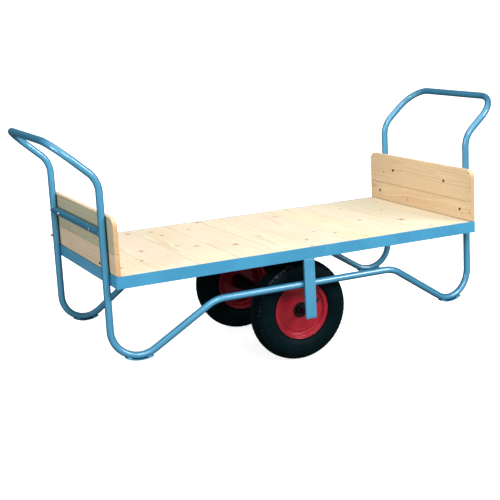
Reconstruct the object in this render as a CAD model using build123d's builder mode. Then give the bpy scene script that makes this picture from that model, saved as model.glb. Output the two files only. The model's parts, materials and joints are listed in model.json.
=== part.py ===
from build123d import *
import math
import os

# ---------------------------------------------------------------------------
# Two-wheel balance trolley.  Millimetres.  X runs along the platform, Y across
# it, Z up.  The origin is on the floor, straight under the middle of the axle.
# "left" is -X, "right" is +X, "near" is -Y and "far" is +Y.
# ---------------------------------------------------------------------------
ENDS = ((-1, "left"), (1, "right"))
SIDES = ((-1, "near"), (1, "far"))

# platform frame
deck_length = 1524.0
deck_width = 762.0
half_length = deck_length / 2
half_width = deck_width / 2
deck_z = 464.0                     # top of frame and boards
rail_height = 45.0                 # vertical leg of the angle
rail_leg = 45.0                    # horizontal leg of the angle
rail_thick = 5.0
rail_z = deck_z - rail_height      # underside of frame
rail_hole_radius = 3.3
tie_width, tie_thick = 50.0, 5.0
tie_x = 254.0

# deck boards, on the horizontal legs and inside the vertical ones
board_thick = rail_height - rail_thick
boards_end_x = half_length - rail_thick
seams = [-boards_end_x, -602.0, -444.0, -285.0, -127.0, 14.0,
         191.0, 353.0, 512.0, 670.0, boards_end_x]
bays = list(zip(seams[:-1], seams[1:]))
seam_gap = 0.8
board_end_gap = 0.75
board_length = deck_width - 2 * rail_thick - 2 * board_end_gap
board_chamfer = 1.0

# deck screws, driven up through the rails
screw_y = half_width - 30.0
screw_inset, narrow_screw_inset = 30.0, 22.0   # from a seam; the second on narrow boards
narrow_board = 100.0
screw_end_margin = 50.0            # no screws this close to the frame ends
screw_radius = 3.0
screw_depth = 22.0                 # into the board
screw_head_radius, screw_head_height = 5.0, 4.0
pilot_radius, pilot_depth = 3.05, 24.0

# endboards
plank_thick = 18.0
plank_z0 = deck_z + 0.3            # bottom of the lower plank's space
plank_joint_z = 543.5
plank_z1 = 672.0
plank_gap = 0.6                    # lower plank's height is short of its space by this
plank_chamfer = 0.8
rebate_height, rebate_depth = 3.2, 5.8   # relief under each lower plank, over the rail
plank_corner_radius = 32.0

# bent tube
tube_radius = 13.5
tube_wall = 2.65
tube_bore = tube_radius - tube_wall
post_x = half_length + tube_radius
post_y = 304.0
grip_x, grip_z = 938.0, 944.0      # handle grip bar
knee_z = 799.0                     # where post and handle slope meet
knee_radius, grip_corner_radius = 98.0, 110.0
foot_z, foot_radius = 64.0, 103.0  # where post and strut lines meet, bend radius
strut_x, strut_y, strut_z = 382.0, 355.5, 318.5
strut_radius = 121.0
loop_gap = 0.5                     # half the slit between the two loops
bar_z = 608.0                      # crossbar height
cope_half_height = 30.0            # reach of the coping cut above and below the crossbar
sleeve_length, sleeve_wall, sleeve_clearance = 120.0, 3.0, 0.05
shoe_width, shoe_thick = 26.0, 4.0
shoe_angles = (-118, -92, -66)     # start, middle, end; degrees round the foot bend

# endboard bolts
post_bolt_z = 505.5
bar_bolt_y = 192.0
bolt_radius = 3.0
bolt_hole_radius = 3.25
bolt_length = 53.0
bolt_head_radius, bolt_head_height = 5.5, 3.3
bolt_dome_radius = 2.4
bolt_end_chamfer = 0.6
bolt_socket_radius, bolt_socket_depth = 2.0, 2.0   # radius to the flats
nut_across_flats, nut_height = 10.0, 5.0
tube_cut = 40.0                    # length of a cut right through a tube
post_bolts = ((-post_y, post_bolt_z), (post_y, post_bolt_z))      # (y, z)
bar_bolts = ((-bar_bolt_y, bar_z), (bar_bolt_y, bar_z))           # (y, z)

# axle and its brackets
bracket_width, bracket_thick = 45.0, 12.0
bracket_z0 = 186.5
bracket_chamfer = 0.8
axle_z = 200.0
axle_radius = 12.5
axle_end_y = half_width - bracket_thick
axle_clearance = 0.05              # of the parts sleeved on the axle

# Offsets along the axle are from the wheel plane, outboard positive.
# bearings
wheel_y = 267.0
bearing_width = 15.0
bearing_starts = (0.0, -44.0)      # inboard faces of the outboard and inboard bearings
bearing_radius = 26.0
inner_ring_clearance = 0.03
ball_radius, pitch_radius, ball_count = 3.97, 19.25, 9
groove_radius = ball_radius + 0.12
inner_land_radius, outer_land_radius = 16.3, 22.4
seal_width, seal_inset = 1.2, 0.4
seal_inner_gap, seal_outer_gap = 0.15, 0.02

# hub
hub_radius = 30.0
hub_bore = bearing_radius + 0.05
hub_inboard, hub_outboard = -46.0, 21.5
hub_chamfer = 0.8

# spacer tube and collars, both necked down to touch only the bearing inner rings
neck_radius = 15.5
spacer_radius, spacer_neck = 24.0, 3.0
spacer_end_y = wheel_y + bearing_starts[1]
collar_radius, collar_length, collar_neck = 17.0, 18.0, 2.0
collar_chamfer = 1.0
collar_start_y = wheel_y + bearing_starts[0] + bearing_width
grub_y = collar_start_y + 10.0
grub_radius, grub_length, grub_tip_gap = 3.0, 7.0, 0.02
grub_hole_radius = 3.05
grub_socket_radius = 1.6           # to the corners
grub_socket_start = 4.0            # socket floor, above the axle surface
grub_socket_cut = 4.0

# wheel
tyre_radius = axle_z               # the tyre stands on the floor
tyre_width = 94.0
air_tube_wall = 2.5
air_tube_centre = (0.0, 148.0)     # (offset, radius) its section thins towards

# Half sections, (offset, radius), from the wheel plane to the beads;
# the tyre's then returns along the inside.
tyre_half = [
    (0, tyre_radius), (10, tyre_radius - 0.9), (20, tyre_radius - 3.5),
    (30, tyre_radius - 8.9), (38, tyre_radius - 16.8), (44, tyre_radius - 28),
    (tyre_width / 2, tyre_radius - 43), (46.5, 141), (42.5, 127), (36.5, 117.2),
    (31.2, 113.9), (31.2, 104.8), (28.5, 101.95), (20.5, 101.25),
    (20.5, 106), (26.5, 116), (33.5, 128), (37.8, 142), (38.5, 156),
    (35.5, 168.5), (30, 178), (22, 185), (12, 189.5), (0, 191),
]
air_tube_half = [
    (0, 190.6), (11.9, 189.1), (21.8, 184.6), (29.7, 177.7), (35.2, 168.3), (38.1, 156),
    (37.4, 142.1), (33.2, 128.2), (26.1, 116.2), (20.1, 106.2), (19.5, 100.9),
]

# Whole rim and disc section, (offset, radius): along the tyre side from the
# outboard flange to the inboard one, then back by way of the disc and hub.
disc_bore = hub_radius + 0.02
rim_section = [
    (35.4, 109.9), (36.8, 112.2), (35.2, 114.2), (32.4, 113.4), (31.35, 110.8),
    (31.35, 104.6), (28.5, 101.75), (18.5, 100.7), (14.5, 98.0), (12.0, 91.5),
    (-12.0, 91.5), (-14.5, 98.0), (-18.5, 100.7), (-28.5, 101.75), (-31.35, 104.6),
    (-31.35, 110.8), (-32.4, 113.4), (-35.2, 114.2), (-36.8, 112.2), (-35.4, 109.9),
    (-34.6, 111.4), (-33.6, 110.2), (-33.6, 103.6), (-29.8, 99.4), (-19.2, 98.3),
    (-16.9, 96.6), (-14.2, 89.0), (14.2, 89.0), (15.6, 92.9), (17.0, 90.5),
    (16.6, 86.5), (18.6, 83.0), (17.4, 78.5), (17.0, 72.0), (17.0, disc_bore),
    (20.0, disc_bore), (20.0, 72.0), (20.4, 78.0), (21.8, 83.0), (19.8, 87.0),
    (20.4, 91.5), (21.5, 95.5), (23.0, 98.7), (29.8, 99.4), (33.6, 103.6),
    (33.6, 110.2), (34.6, 111.4),
]

# valve, leaning outboard and towards the hub
valve_angle = math.radians(20.0)           # round the wheel, from +X towards +Z
valve_tilt = math.radians(40.4)            # outward from the wheel plane
valve_offset, valve_start_radius = 13.5, 95.0   # where its axis leaves the rim's tyre side
valve_hole_radius, valve_hole_back, valve_hole_length = 4.3, 3.5, 25.0
stem_start = 1.0                           # along the valve axis
stem_radius, stem_length = 3.6, 30.0
stem_ring_start, stem_ring_radius = 17.2, 4.8
stem_ring_height, stem_ring_taper = 4.0, 8
cap_start, cap_radius, cap_length = 22.0, 5.0, 10.5
cap_fillet = 0.8
cap_bore_start, cap_bore_radius, cap_bore_depth = 21.0, 3.65, 9.1

# Turned sections are drawn as (distance along the axle, radius) and turned about Y.
turn_plane = Plane(origin=(0, 0, axle_z), x_dir=(0, 1, 0), z_dir=(1, 0, 0))
turn_axis = Axis((0, 0, axle_z), (0, 1, 0))


def save(builder, label):
    builder.part.label = label
    export_step(builder.part, "parts/" + label + ".step")


# ---------------------------------------------------------------------------
# Platform
# ---------------------------------------------------------------------------
def screw_columns(seam_a, seam_b):
    """X of the screws in the board between two seams."""
    inset = screw_inset if seam_b - seam_a > narrow_board else narrow_screw_inset
    limit = half_length - screw_end_margin
    return [x for x in (seam_a + inset, seam_b - inset) if abs(x) < limit]


def screw_sites(seam_a, seam_b):
    return [(x, sy * screw_y) for x in screw_columns(seam_a, seam_b) for sy in (-1, 1)]


def side_strip(sy, width):
    """Plan outline of a strip along a long side, mitred 45 degrees."""
    outer_y, inner_y = sy * half_width, sy * (half_width - width)
    inner_x = half_length - width
    return [(-half_length, outer_y), (half_length, outer_y),
            (inner_x, inner_y), (-inner_x, inner_y)]


def end_strip(sx, width):
    """Plan outline of a strip along an end, mitred 45 degrees."""
    outer_x, inner_x = sx * half_length, sx * (half_length - width)
    inner_y = half_width - width
    return [(outer_x, -half_width), (outer_x, half_width),
            (inner_x, inner_y), (inner_x, -inner_y)]


def make_rail(label, strip, sign, holes=()):
    """One rolled angle, mitred at the corners."""
    with BuildPart() as rail:
        with BuildSketch(Plane.XY.offset(rail_z)):
            Polygon(*strip(sign, rail_leg), align=None)
        extrude(amount=rail_thick)
        with BuildSketch(Plane.XY.offset(rail_z)):
            Polygon(*strip(sign, rail_thick), align=None)
        extrude(amount=rail_height)
        if holes:
            with BuildSketch(Plane.XY.offset(rail_z)):
                with Locations(*holes):
                    Circle(rail_hole_radius)
            extrude(amount=rail_thick, mode=Mode.SUBTRACT)
    save(rail, label)


def make_tie(sx, end):
    """Flat tie between the horizontal legs of the side rails."""
    with BuildPart() as tie:
        with BuildSketch(Plane.XY.offset(rail_z)):
            with Locations((sx * tie_x, 0)):
                Rectangle(tie_width, deck_width - 2 * rail_leg)
        extrude(amount=tie_thick)
    save(tie, end + "_cross_tie")


def make_board(index, seam_a, seam_b):
    # a full gap at the frame, half a gap at each seam
    x0 = seam_a + (seam_gap if index == 0 else seam_gap / 2)
    x1 = seam_b - (seam_gap if index == len(bays) - 1 else seam_gap / 2)
    with BuildPart() as board:
        with BuildSketch(Plane.XY.offset(deck_z - board_thick)):
            with Locations(((x0 + x1) / 2, 0)):
                Rectangle(x1 - x0, board_length)
        extrude(amount=board_thick)
        top_edges = board.edges().group_by(Axis.Z)[-1]
        chamfer(top_edges.filter_by(Axis.Y), length=board_chamfer)
        with BuildSketch(Plane.XY.offset(deck_z - board_thick)):
            with Locations(*screw_sites(seam_a, seam_b)):
                Circle(pilot_radius)
        extrude(amount=pilot_depth, mode=Mode.SUBTRACT)
    save(board, "deck_board_%02d" % (index + 1))


# ---------------------------------------------------------------------------
# Endboards: a lower and an upper plank at each end, bolted to the tube
# ---------------------------------------------------------------------------
def end_face(sx):
    """Outer face of the frame end, drawn on as (y, z)."""
    return Plane(origin=(sx * half_length, 0, 0), x_dir=(0, 1, 0), z_dir=(1, 0, 0))


def make_lower_plank(sx, end):
    with BuildPart() as plank:
        with BuildSketch(end_face(sx)):
            with Locations((0, (plank_z0 + plank_joint_z) / 2)):
                Rectangle(deck_width, plank_joint_z - plank_z0 - plank_gap)
            with Locations(*post_bolts):
                Circle(bolt_hole_radius, mode=Mode.SUBTRACT)
        extrude(amount=-sx * plank_thick)
        top_edges = plank.edges().group_by(Axis.Z)[-1]
        chamfer(top_edges.filter_by(Axis.Y), length=plank_chamfer)
        with BuildSketch(Plane.XY.offset(plank_z0)):
            with Locations((sx * (half_length - rebate_depth / 2), 0)):
                Rectangle(rebate_depth, deck_width)
        extrude(amount=rebate_height, mode=Mode.SUBTRACT)
    save(plank, end + "_endboard_lower")


def make_upper_plank(sx, end):
    with BuildPart() as plank:
        with BuildSketch(end_face(sx)) as outline:
            with Locations((0, (plank_joint_z + plank_z1) / 2)):
                Rectangle(deck_width, plank_z1 - plank_joint_z)
            fillet(outline.vertices().sort_by(Axis.Y)[-2:], radius=plank_corner_radius)
            with Locations(*bar_bolts):
                Circle(bolt_hole_radius, mode=Mode.SUBTRACT)
        extrude(amount=-sx * plank_thick)
        bottom_edges = plank.edges().group_by(Axis.Z)[0]
        chamfer(bottom_edges.filter_by(Axis.Y), length=plank_chamfer)
    save(plank, end + "_endboard_upper")


# ---------------------------------------------------------------------------
# Tubes
# ---------------------------------------------------------------------------
def bend(before, corner, after, radius):
    """Start, middle, end and centre of the arc that rounds a corner."""
    to_before = (before - corner).normalized()
    to_after = (after - corner).normalized()
    angle = math.acos(max(-1.0, min(1.0, to_before.dot(to_after))))
    setback = radius / math.tan(angle / 2)
    bisector = (to_before + to_after).normalized()
    centre = corner + bisector * (radius / math.sin(angle / 2))
    return (corner + to_before * setback, centre - bisector * radius,
            corner + to_after * setback, centre)


def loop_corners(sx):
    """Corners and bend radii of an end loop, from its near chassis end to its far one."""
    near_half = [
        Vector(sx * loop_gap, -strut_y, strut_z),
        Vector(sx * strut_x, -strut_y, strut_z),
        Vector(sx * post_x, -post_y, foot_z),
        Vector(sx * post_x, -post_y, knee_z),
        Vector(sx * grip_x, -post_y, grip_z),
    ]
    radii = [strut_radius, foot_radius, knee_radius, grip_corner_radius]
    far_half = [Vector(p.X, -p.Y, p.Z) for p in reversed(near_half)]
    return near_half + far_half, radii + radii[::-1]


def bolt_cut_plane(sx):
    """Plane square to X, inboard of the posts, from which bolt holes are cut."""
    return Plane(origin=(post_x * sx - tube_cut / 2, 0, 0), x_dir=(0, 1, 0), z_dir=(1, 0, 0))


def make_loop(sx, end):
    """One length of tube, bent from chassis to foot to handle and back."""
    corners, radii = loop_corners(sx)
    with BuildPart() as loop:
        with BuildLine() as path:
            last = corners[0]
            for i, radius in enumerate(radii):
                arc_start, arc_middle, arc_end, _ = bend(*corners[i:i + 3], radius)
                Line(last, arc_start)
                ThreePointArc(arc_start, arc_middle, arc_end)
                last = arc_end
            Line(last, corners[-1])
        with BuildSketch(Plane(origin=corners[0], z_dir=Vector(sx, 0, 0))):
            Circle(tube_radius)
            Circle(tube_bore, mode=Mode.SUBTRACT)
        sweep(path=path.wires()[0])
        # bolt holes through both walls of each post
        with BuildSketch(bolt_cut_plane(sx)):
            with Locations(*post_bolts):
                Circle(bolt_hole_radius)
        extrude(amount=tube_cut, mode=Mode.SUBTRACT)
    save(loop, end + "_end_loop")


def make_crossbar(sx, end):
    """Tube between the posts, coped to them at both ends."""
    bar_start = Plane(origin=(sx * post_x, -post_y, bar_z), x_dir=(1, 0, 0), z_dir=(0, 1, 0))
    with BuildPart() as coped:
        with BuildSketch(bar_start):
            Circle(tube_radius)
            Circle(tube_bore, mode=Mode.SUBTRACT)
        extrude(amount=2 * post_y)
        with BuildSketch(Plane.XY.offset(bar_z - cope_half_height)):
            with Locations((sx * post_x, -post_y), (sx * post_x, post_y)):
                Circle(tube_radius)
        extrude(amount=2 * cope_half_height, mode=Mode.SUBTRACT)
        with BuildSketch(bolt_cut_plane(sx)):
            with Locations(*bar_bolts):
                Circle(bolt_hole_radius)
        extrude(amount=tube_cut, mode=Mode.SUBTRACT)
    # coping can leave slivers at the ends, so only the largest solid is kept
    with BuildPart() as crossbar:
        add(coped.part.solids().sort_by(SortBy.VOLUME)[-1])
    save(crossbar, end + "_crossbar")


def make_sleeve(sy, side):
    """Sleeve inside the tube ends where the loops meet."""
    sleeve_radius = tube_bore - sleeve_clearance
    with BuildPart() as sleeve:
        with BuildSketch(Plane(origin=(-sleeve_length / 2, sy * strut_y, strut_z),
                               z_dir=(1, 0, 0))):
            Circle(sleeve_radius)
            Circle(sleeve_radius - sleeve_wall, mode=Mode.SUBTRACT)
        extrude(amount=sleeve_length)
    save(sleeve, side + "_joint_sleeve")


def make_shoe(sx, sy, label):
    """Curved strap welded under a foot bend."""
    knee = Vector(sx * post_x, sy * post_y, knee_z)
    foot = Vector(sx * post_x, sy * post_y, foot_z)
    strut = Vector(sx * strut_x, sy * strut_y, strut_z)
    centre = bend(knee, foot, strut, foot_radius)[3]
    inward = Vector(strut.X - foot.X, strut.Y - foot.Y, 0).normalized()
    bend_plane = Plane(origin=centre, x_dir=inward, z_dir=inward.cross(Vector(0, 0, 1)))
    top_radius = foot_radius + tube_radius
    top, bottom = [
        [(radius * math.cos(math.radians(angle)), radius * math.sin(math.radians(angle)))
         for angle in shoe_angles]
        for radius in (top_radius, top_radius + shoe_thick)
    ]
    with BuildPart() as shoe:
        with BuildSketch(bend_plane):
            with BuildLine():
                ThreePointArc(*top)
                Line(top[2], bottom[2])
                ThreePointArc(*bottom)
                Line(bottom[0], top[0])
            make_face()
        extrude(amount=shoe_width / 2, both=True)
    save(shoe, label)


# ---------------------------------------------------------------------------
# Axle, brackets, spacer tube and collars
# ---------------------------------------------------------------------------
def make_bracket(sy, side):
    """Flat bar butt-welded under the side rail, flush with its outer face."""
    with BuildPart() as bracket:
        with BuildSketch(Plane.XY.offset(bracket_z0)):
            with Locations((0, sy * (half_width - bracket_thick / 2))):
                Rectangle(bracket_width, bracket_thick)
        extrude(amount=rail_z - bracket_z0)
        chamfer(bracket.edges().filter_by(Axis.Z), length=bracket_chamfer)
    save(bracket, side + "_axle_bracket")


def make_axle():
    with BuildPart() as axle:
        with BuildSketch(Plane(origin=(0, -axle_end_y, axle_z),
                               x_dir=(1, 0, 0), z_dir=(0, 1, 0))):
            Circle(axle_radius)
        extrude(amount=2 * axle_end_y)
    save(axle, "axle")


def make_spacer():
    bore = axle_radius + axle_clearance
    shoulder_y = spacer_end_y - spacer_neck
    far_half = [(spacer_end_y, bore), (spacer_end_y, neck_radius),
                (shoulder_y, neck_radius), (shoulder_y, spacer_radius)]
    near_half = [(-y, radius) for y, radius in reversed(far_half)]
    with BuildPart() as spacer:
        with BuildSketch(turn_plane):
            Polygon(*far_half, *near_half, align=None)
        revolve(axis=turn_axis)
    save(spacer, "axle_spacer_tube")


def make_collar(sy, side):
    bore = axle_radius + axle_clearance
    edge_radius = collar_radius - collar_chamfer
    # (distance outboard from the bearing, radius)
    section = [
        (0, bore), (0, neck_radius), (collar_neck, neck_radius), (collar_neck, edge_radius),
        (collar_neck + collar_chamfer, collar_radius),
        (collar_length - collar_chamfer, collar_radius),
        (collar_length, edge_radius), (collar_length, bore),
    ]
    with BuildPart() as collar:
        with BuildSketch(turn_plane):
            Polygon(*[(sy * (collar_start_y + y), radius) for y, radius in section],
                    align=None)
        revolve(axis=turn_axis)
        # grub screw hole, from the axle centre up through the top
        with BuildSketch(Plane(origin=(0, sy * grub_y, axle_z), z_dir=(0, 0, 1))):
            Circle(grub_hole_radius)
        extrude(amount=collar_radius + 2, mode=Mode.SUBTRACT)
    save(collar, side + "_axle_collar")


def make_grub_screws():
    axle_top = axle_z + axle_radius
    with BuildPart() as grubs:
        with BuildSketch(Plane(origin=(0, 0, axle_top + grub_tip_gap), z_dir=(0, 0, 1))):
            with Locations((0, -grub_y), (0, grub_y)):
                Circle(grub_radius)
        extrude(amount=grub_length)
        with BuildSketch(Plane(origin=(0, 0, axle_top + grub_socket_start), z_dir=(0, 0, 1))):
            with Locations((0, -grub_y), (0, grub_y)):
                RegularPolygon(radius=grub_socket_radius, side_count=6)
        extrude(amount=grub_socket_cut, mode=Mode.SUBTRACT)
    save(grubs, "collar_grub_screws")


# ---------------------------------------------------------------------------
# Wheels
# ---------------------------------------------------------------------------
def on_wheel(sy, points):
    """Wheel section points (offset, radius) placed on the turning plane."""
    return [(sy * (wheel_y + offset), radius) for offset, radius in points]


def ring_section(sy, start, end, inner_radius, outer_radius):
    """Rectangular ring section on the turning plane."""
    return on_wheel(sy, [(start, inner_radius), (start, outer_radius),
                         (end, outer_radius), (end, inner_radius)])


def mirrored(points):
    """The points in reverse order, on the other side of the wheel plane."""
    return [(-offset, radius) for offset, radius in reversed(points)]


def make_tyre(sy, side):
    """Tread, shoulders, sidewalls and beads in one closed section."""
    section = tyre_half + mirrored(tyre_half[1:-1])
    with BuildPart() as tyre:
        with BuildSketch(turn_plane):
            Polygon(*on_wheel(sy, section), align=None)
        revolve(axis=turn_axis)
    save(tyre, side + "_tyre")


def make_air_tube(sy, side):
    """Closed hollow ring resting inside the tyre."""
    outer = air_tube_half + mirrored(air_tube_half[1:])
    centre_offset, centre_radius = air_tube_centre
    inner = []
    for offset, radius in outer:
        across, up = offset - centre_offset, radius - centre_radius
        step = air_tube_wall / math.hypot(across, up)
        inner.append((offset - across * step, radius - up * step))
    with BuildPart() as air_tube:
        with BuildSketch(turn_plane):
            Polygon(*on_wheel(sy, outer), align=None)
            Polygon(*on_wheel(sy, inner), align=None, mode=Mode.SUBTRACT)
        revolve(axis=turn_axis)
    save(air_tube, side + "_inner_tube")


def valve_plane(sy, distance):
    """Plane square to the valve axis, a distance along it from its start."""
    radial = Vector(math.cos(valve_angle), 0, math.sin(valve_angle))
    axial = Vector(0, sy, 0)
    direction = axial * math.sin(valve_tilt) - radial * math.cos(valve_tilt)
    start = (Vector(0, sy * wheel_y, axle_z) + axial * valve_offset
             + radial * valve_start_radius)
    return Plane(origin=start + direction * distance, z_dir=direction)


def make_rim(sy, side):
    """Rim with rolled flanges and well, and a dished disc with a stepped ring."""
    with BuildPart() as rim:
        with BuildSketch(turn_plane):
            Polygon(*on_wheel(sy, rim_section), align=None)
        revolve(axis=turn_axis)
        # valve hole, slanting from the well out through the disc
        with BuildSketch(valve_plane(sy, -valve_hole_back)):
            Circle(valve_hole_radius)
        extrude(amount=valve_hole_length, mode=Mode.SUBTRACT)
    save(rim, side + "_rim")


def make_hub(sy, side):
    with BuildPart() as hub:
        with BuildSketch(turn_plane):
            Polygon(*ring_section(sy, hub_inboard, hub_outboard, hub_bore, hub_radius),
                    align=None)
        revolve(axis=turn_axis)
        chamfer(hub.edges().filter_by(GeomType.CIRCLE), length=hub_chamfer)
    save(hub, side + "_hub")


def make_valve_stem(sy, side):
    stem_plane = valve_plane(sy, stem_start)
    with BuildPart() as stem:
        with BuildSketch(stem_plane):
            Circle(stem_radius)
        extrude(amount=stem_length)
        with BuildSketch(stem_plane.offset(stem_ring_start)):
            Circle(stem_ring_radius)
        extrude(amount=stem_ring_height, taper=stem_ring_taper)
    save(stem, side + "_valve_stem")


def make_valve_cap(sy, side):
    stem_plane = valve_plane(sy, stem_start)
    with BuildPart() as cap:
        with BuildSketch(stem_plane.offset(cap_start)):
            Circle(cap_radius)
        extrude(amount=cap_length)
        fillet(cap.edges().filter_by(GeomType.CIRCLE), radius=cap_fillet)
        with BuildSketch(stem_plane.offset(cap_bore_start)):
            Circle(cap_bore_radius)
        extrude(amount=cap_bore_depth, mode=Mode.SUBTRACT)
    save(cap, side + "_valve_cap")


def make_bearing_rings(sy, inner_radius, outer_radius, label):
    """One ring of each bearing, grooved for the balls."""
    with BuildPart() as rings:
        with BuildSketch(turn_plane):
            for start in bearing_starts:
                Polygon(*ring_section(sy, start, start + bearing_width,
                                      inner_radius, outer_radius), align=None)
                with Locations(*on_wheel(sy, [(start + bearing_width / 2, pitch_radius)])):
                    Circle(groove_radius, mode=Mode.SUBTRACT)
        revolve(axis=turn_axis)
    save(rings, label)


def make_balls(sy, side):
    with BuildPart() as balls:
        for start in bearing_starts:
            y = sy * (wheel_y + start + bearing_width / 2)
            angles = [2 * math.pi * k / ball_count for k in range(ball_count)]
            centres = [(pitch_radius * math.cos(angle), y,
                        axle_z + pitch_radius * math.sin(angle)) for angle in angles]
            with Locations(*centres):
                Sphere(ball_radius)
    save(balls, side + "_bearing_balls")


def make_seals(sy, side):
    """A flat ring near each face of each bearing."""
    last_seal = bearing_width - seal_inset - seal_width
    with BuildPart() as seals:
        with BuildSketch(turn_plane):
            for start in bearing_starts:
                for edge in (start + seal_inset, start + last_seal):
                    Polygon(*ring_section(sy, edge, edge + seal_width,
                                          inner_land_radius + seal_inner_gap,
                                          outer_land_radius - seal_outer_gap), align=None)
        revolve(axis=turn_axis)
    save(seals, side + "_bearing_seals")


# ---------------------------------------------------------------------------
# Fasteners
# ---------------------------------------------------------------------------
bolt_sites = [(sx, y, z) for sx in (-1, 1) for y, z in post_bolts + bar_bolts]


def make_bolts():
    """Bolts with heads on the endboards' inner faces, threads pointing outward."""
    seat_x = half_length - plank_thick
    head_x = seat_x - bolt_head_height
    with BuildPart() as bolts:
        for sx, y, z in bolt_sites:
            seat = Plane(origin=(sx * seat_x, y, z), x_dir=(0, 1, 0), z_dir=(-sx, 0, 0))
            with BuildSketch(seat):
                Circle(bolt_head_radius)
            extrude(amount=bolt_head_height)
            with BuildSketch(seat.offset(-bolt_length)):
                Circle(bolt_radius)
            extrude(amount=bolt_length + 1.0)   # runs on into the head
        # domed heads
        circles = bolts.edges().filter_by(GeomType.CIRCLE)
        fillet([e for e in circles
                if abs(e.radius - bolt_head_radius) < 0.01
                and abs(abs(e.center().X) - head_x) < 0.01], radius=bolt_dome_radius)
        # broken thread ends
        circles = bolts.edges().filter_by(GeomType.CIRCLE)
        chamfer([e for e in circles
                 if abs(e.radius - bolt_radius) < 0.01
                 and abs(e.center().X) > half_length], length=bolt_end_chamfer)
        # hexagon sockets
        for sx, y, z in bolt_sites:
            with BuildSketch(Plane(origin=(sx * head_x, y, z),
                                   x_dir=(0, 1, 0), z_dir=(sx, 0, 0))):
                RegularPolygon(radius=bolt_socket_radius, side_count=6, major_radius=False)
            extrude(amount=bolt_socket_depth, mode=Mode.SUBTRACT)
    save(bolts, "endboard_bolts")


def make_nuts():
    with BuildPart() as nuts:
        for sx, y, z in bolt_sites:
            with BuildSketch(Plane(origin=(sx * (post_x + tube_radius), y, z),
                                   x_dir=(0, sx, 0), z_dir=(sx, 0, 0))):
                RegularPolygon(radius=nut_across_flats / 2, side_count=6, major_radius=False)
                Circle(bolt_radius + 0.05, mode=Mode.SUBTRACT)
            extrude(amount=nut_height)
    save(nuts, "endboard_nuts")


def make_deck_screws():
    sites = [site for bay in bays for site in screw_sites(*bay)]
    with BuildPart() as screws:
        with BuildSketch(Plane.XY.offset(rail_z)):
            with Locations(*sites):
                Circle(screw_radius)
        extrude(amount=rail_thick + screw_depth)
        with BuildSketch(Plane.XY.offset(rail_z - screw_head_height)):
            with Locations(*sites):
                RegularPolygon(radius=screw_head_radius, side_count=6, major_radius=False)
        extrude(amount=screw_head_height)
    save(screws, "deck_screws")


# ---------------------------------------------------------------------------
# Build everything
# ---------------------------------------------------------------------------
os.makedirs("parts", exist_ok=True)

for index, bay in enumerate(bays):
    make_board(index, *bay)

for sx, end in ENDS:
    make_rail(end + "_end_rail", end_strip, sx)
    make_tie(sx, end)
    make_lower_plank(sx, end)
    make_upper_plank(sx, end)
    make_loop(sx, end)
    make_crossbar(sx, end)
    for sy, side in SIDES:
        make_shoe(sx, sy, end + "_" + side + "_foot_shoe")

for sy, side in SIDES:
    rail_holes = [(x, sy * screw_y) for bay in bays for x in screw_columns(*bay)]
    make_rail(side + "_side_rail", side_strip, sy, rail_holes)
    make_sleeve(sy, side)
    make_bracket(sy, side)
    make_collar(sy, side)
    make_tyre(sy, side)
    make_air_tube(sy, side)
    make_rim(sy, side)
    make_hub(sy, side)
    make_valve_stem(sy, side)
    make_valve_cap(sy, side)
    make_bearing_rings(sy, outer_land_radius, bearing_radius, side + "_bearing_outer_rings")
    make_bearing_rings(sy, axle_radius + inner_ring_clearance, inner_land_radius,
                       side + "_bearing_inner_rings")
    make_balls(sy, side)
    make_seals(sy, side)

make_axle()
make_spacer()
make_grub_screws()
make_bolts()
make_nuts()
make_deck_screws()
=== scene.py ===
"""Platform truck: a pine deck on a blue angle frame, a bent tube loop and two endboards at
each end, and a central axle with two red pneumatic wheels.

The truck's length lies along X, its axle along Y and the floor is z = 0. "Left" is -X,
"right" +X, "near" -Y and "far" +Y. Meshes are worked out in millimetres; materials, lights
and camera are in metres.
"""
import json
import math
import random
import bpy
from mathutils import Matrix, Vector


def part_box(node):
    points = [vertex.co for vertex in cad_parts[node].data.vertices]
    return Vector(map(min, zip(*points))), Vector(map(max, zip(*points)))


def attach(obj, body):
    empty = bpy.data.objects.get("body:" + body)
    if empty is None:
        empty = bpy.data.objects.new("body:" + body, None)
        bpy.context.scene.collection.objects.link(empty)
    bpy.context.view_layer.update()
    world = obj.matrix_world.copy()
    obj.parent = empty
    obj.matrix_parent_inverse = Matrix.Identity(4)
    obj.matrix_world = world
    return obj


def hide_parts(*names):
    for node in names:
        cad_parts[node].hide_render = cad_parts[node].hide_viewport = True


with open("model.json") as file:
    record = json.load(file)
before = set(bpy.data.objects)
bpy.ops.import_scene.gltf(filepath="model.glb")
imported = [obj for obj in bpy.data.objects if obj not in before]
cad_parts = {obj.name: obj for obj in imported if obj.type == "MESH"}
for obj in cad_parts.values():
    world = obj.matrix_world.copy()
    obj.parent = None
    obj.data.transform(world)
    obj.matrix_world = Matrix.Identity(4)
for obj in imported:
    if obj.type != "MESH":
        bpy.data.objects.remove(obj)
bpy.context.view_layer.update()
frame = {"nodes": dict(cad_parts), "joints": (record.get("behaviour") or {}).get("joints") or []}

from fnmatch import fnmatchcase
from functools import reduce

import bmesh
import bpy
import numpy as np
from mathutils import Matrix, Vector, noise

scene = bpy.context.scene
TAU = 2 * math.pi
Y_AXIS = (0, 1, 0)
ENDS = ((-1, "left"), (1, "right"))
SIDES = ((-1, "near"), (1, "far"))


def box_mm(node):
    """A CAD node's lowest and highest corners."""
    lo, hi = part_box(node)
    return np.array(lo) * 1000.0, np.array(hi) * 1000.0


def link_object(name, data):
    obj = bpy.data.objects.new(name, data)
    scene.collection.objects.link(obj)
    return obj


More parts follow.
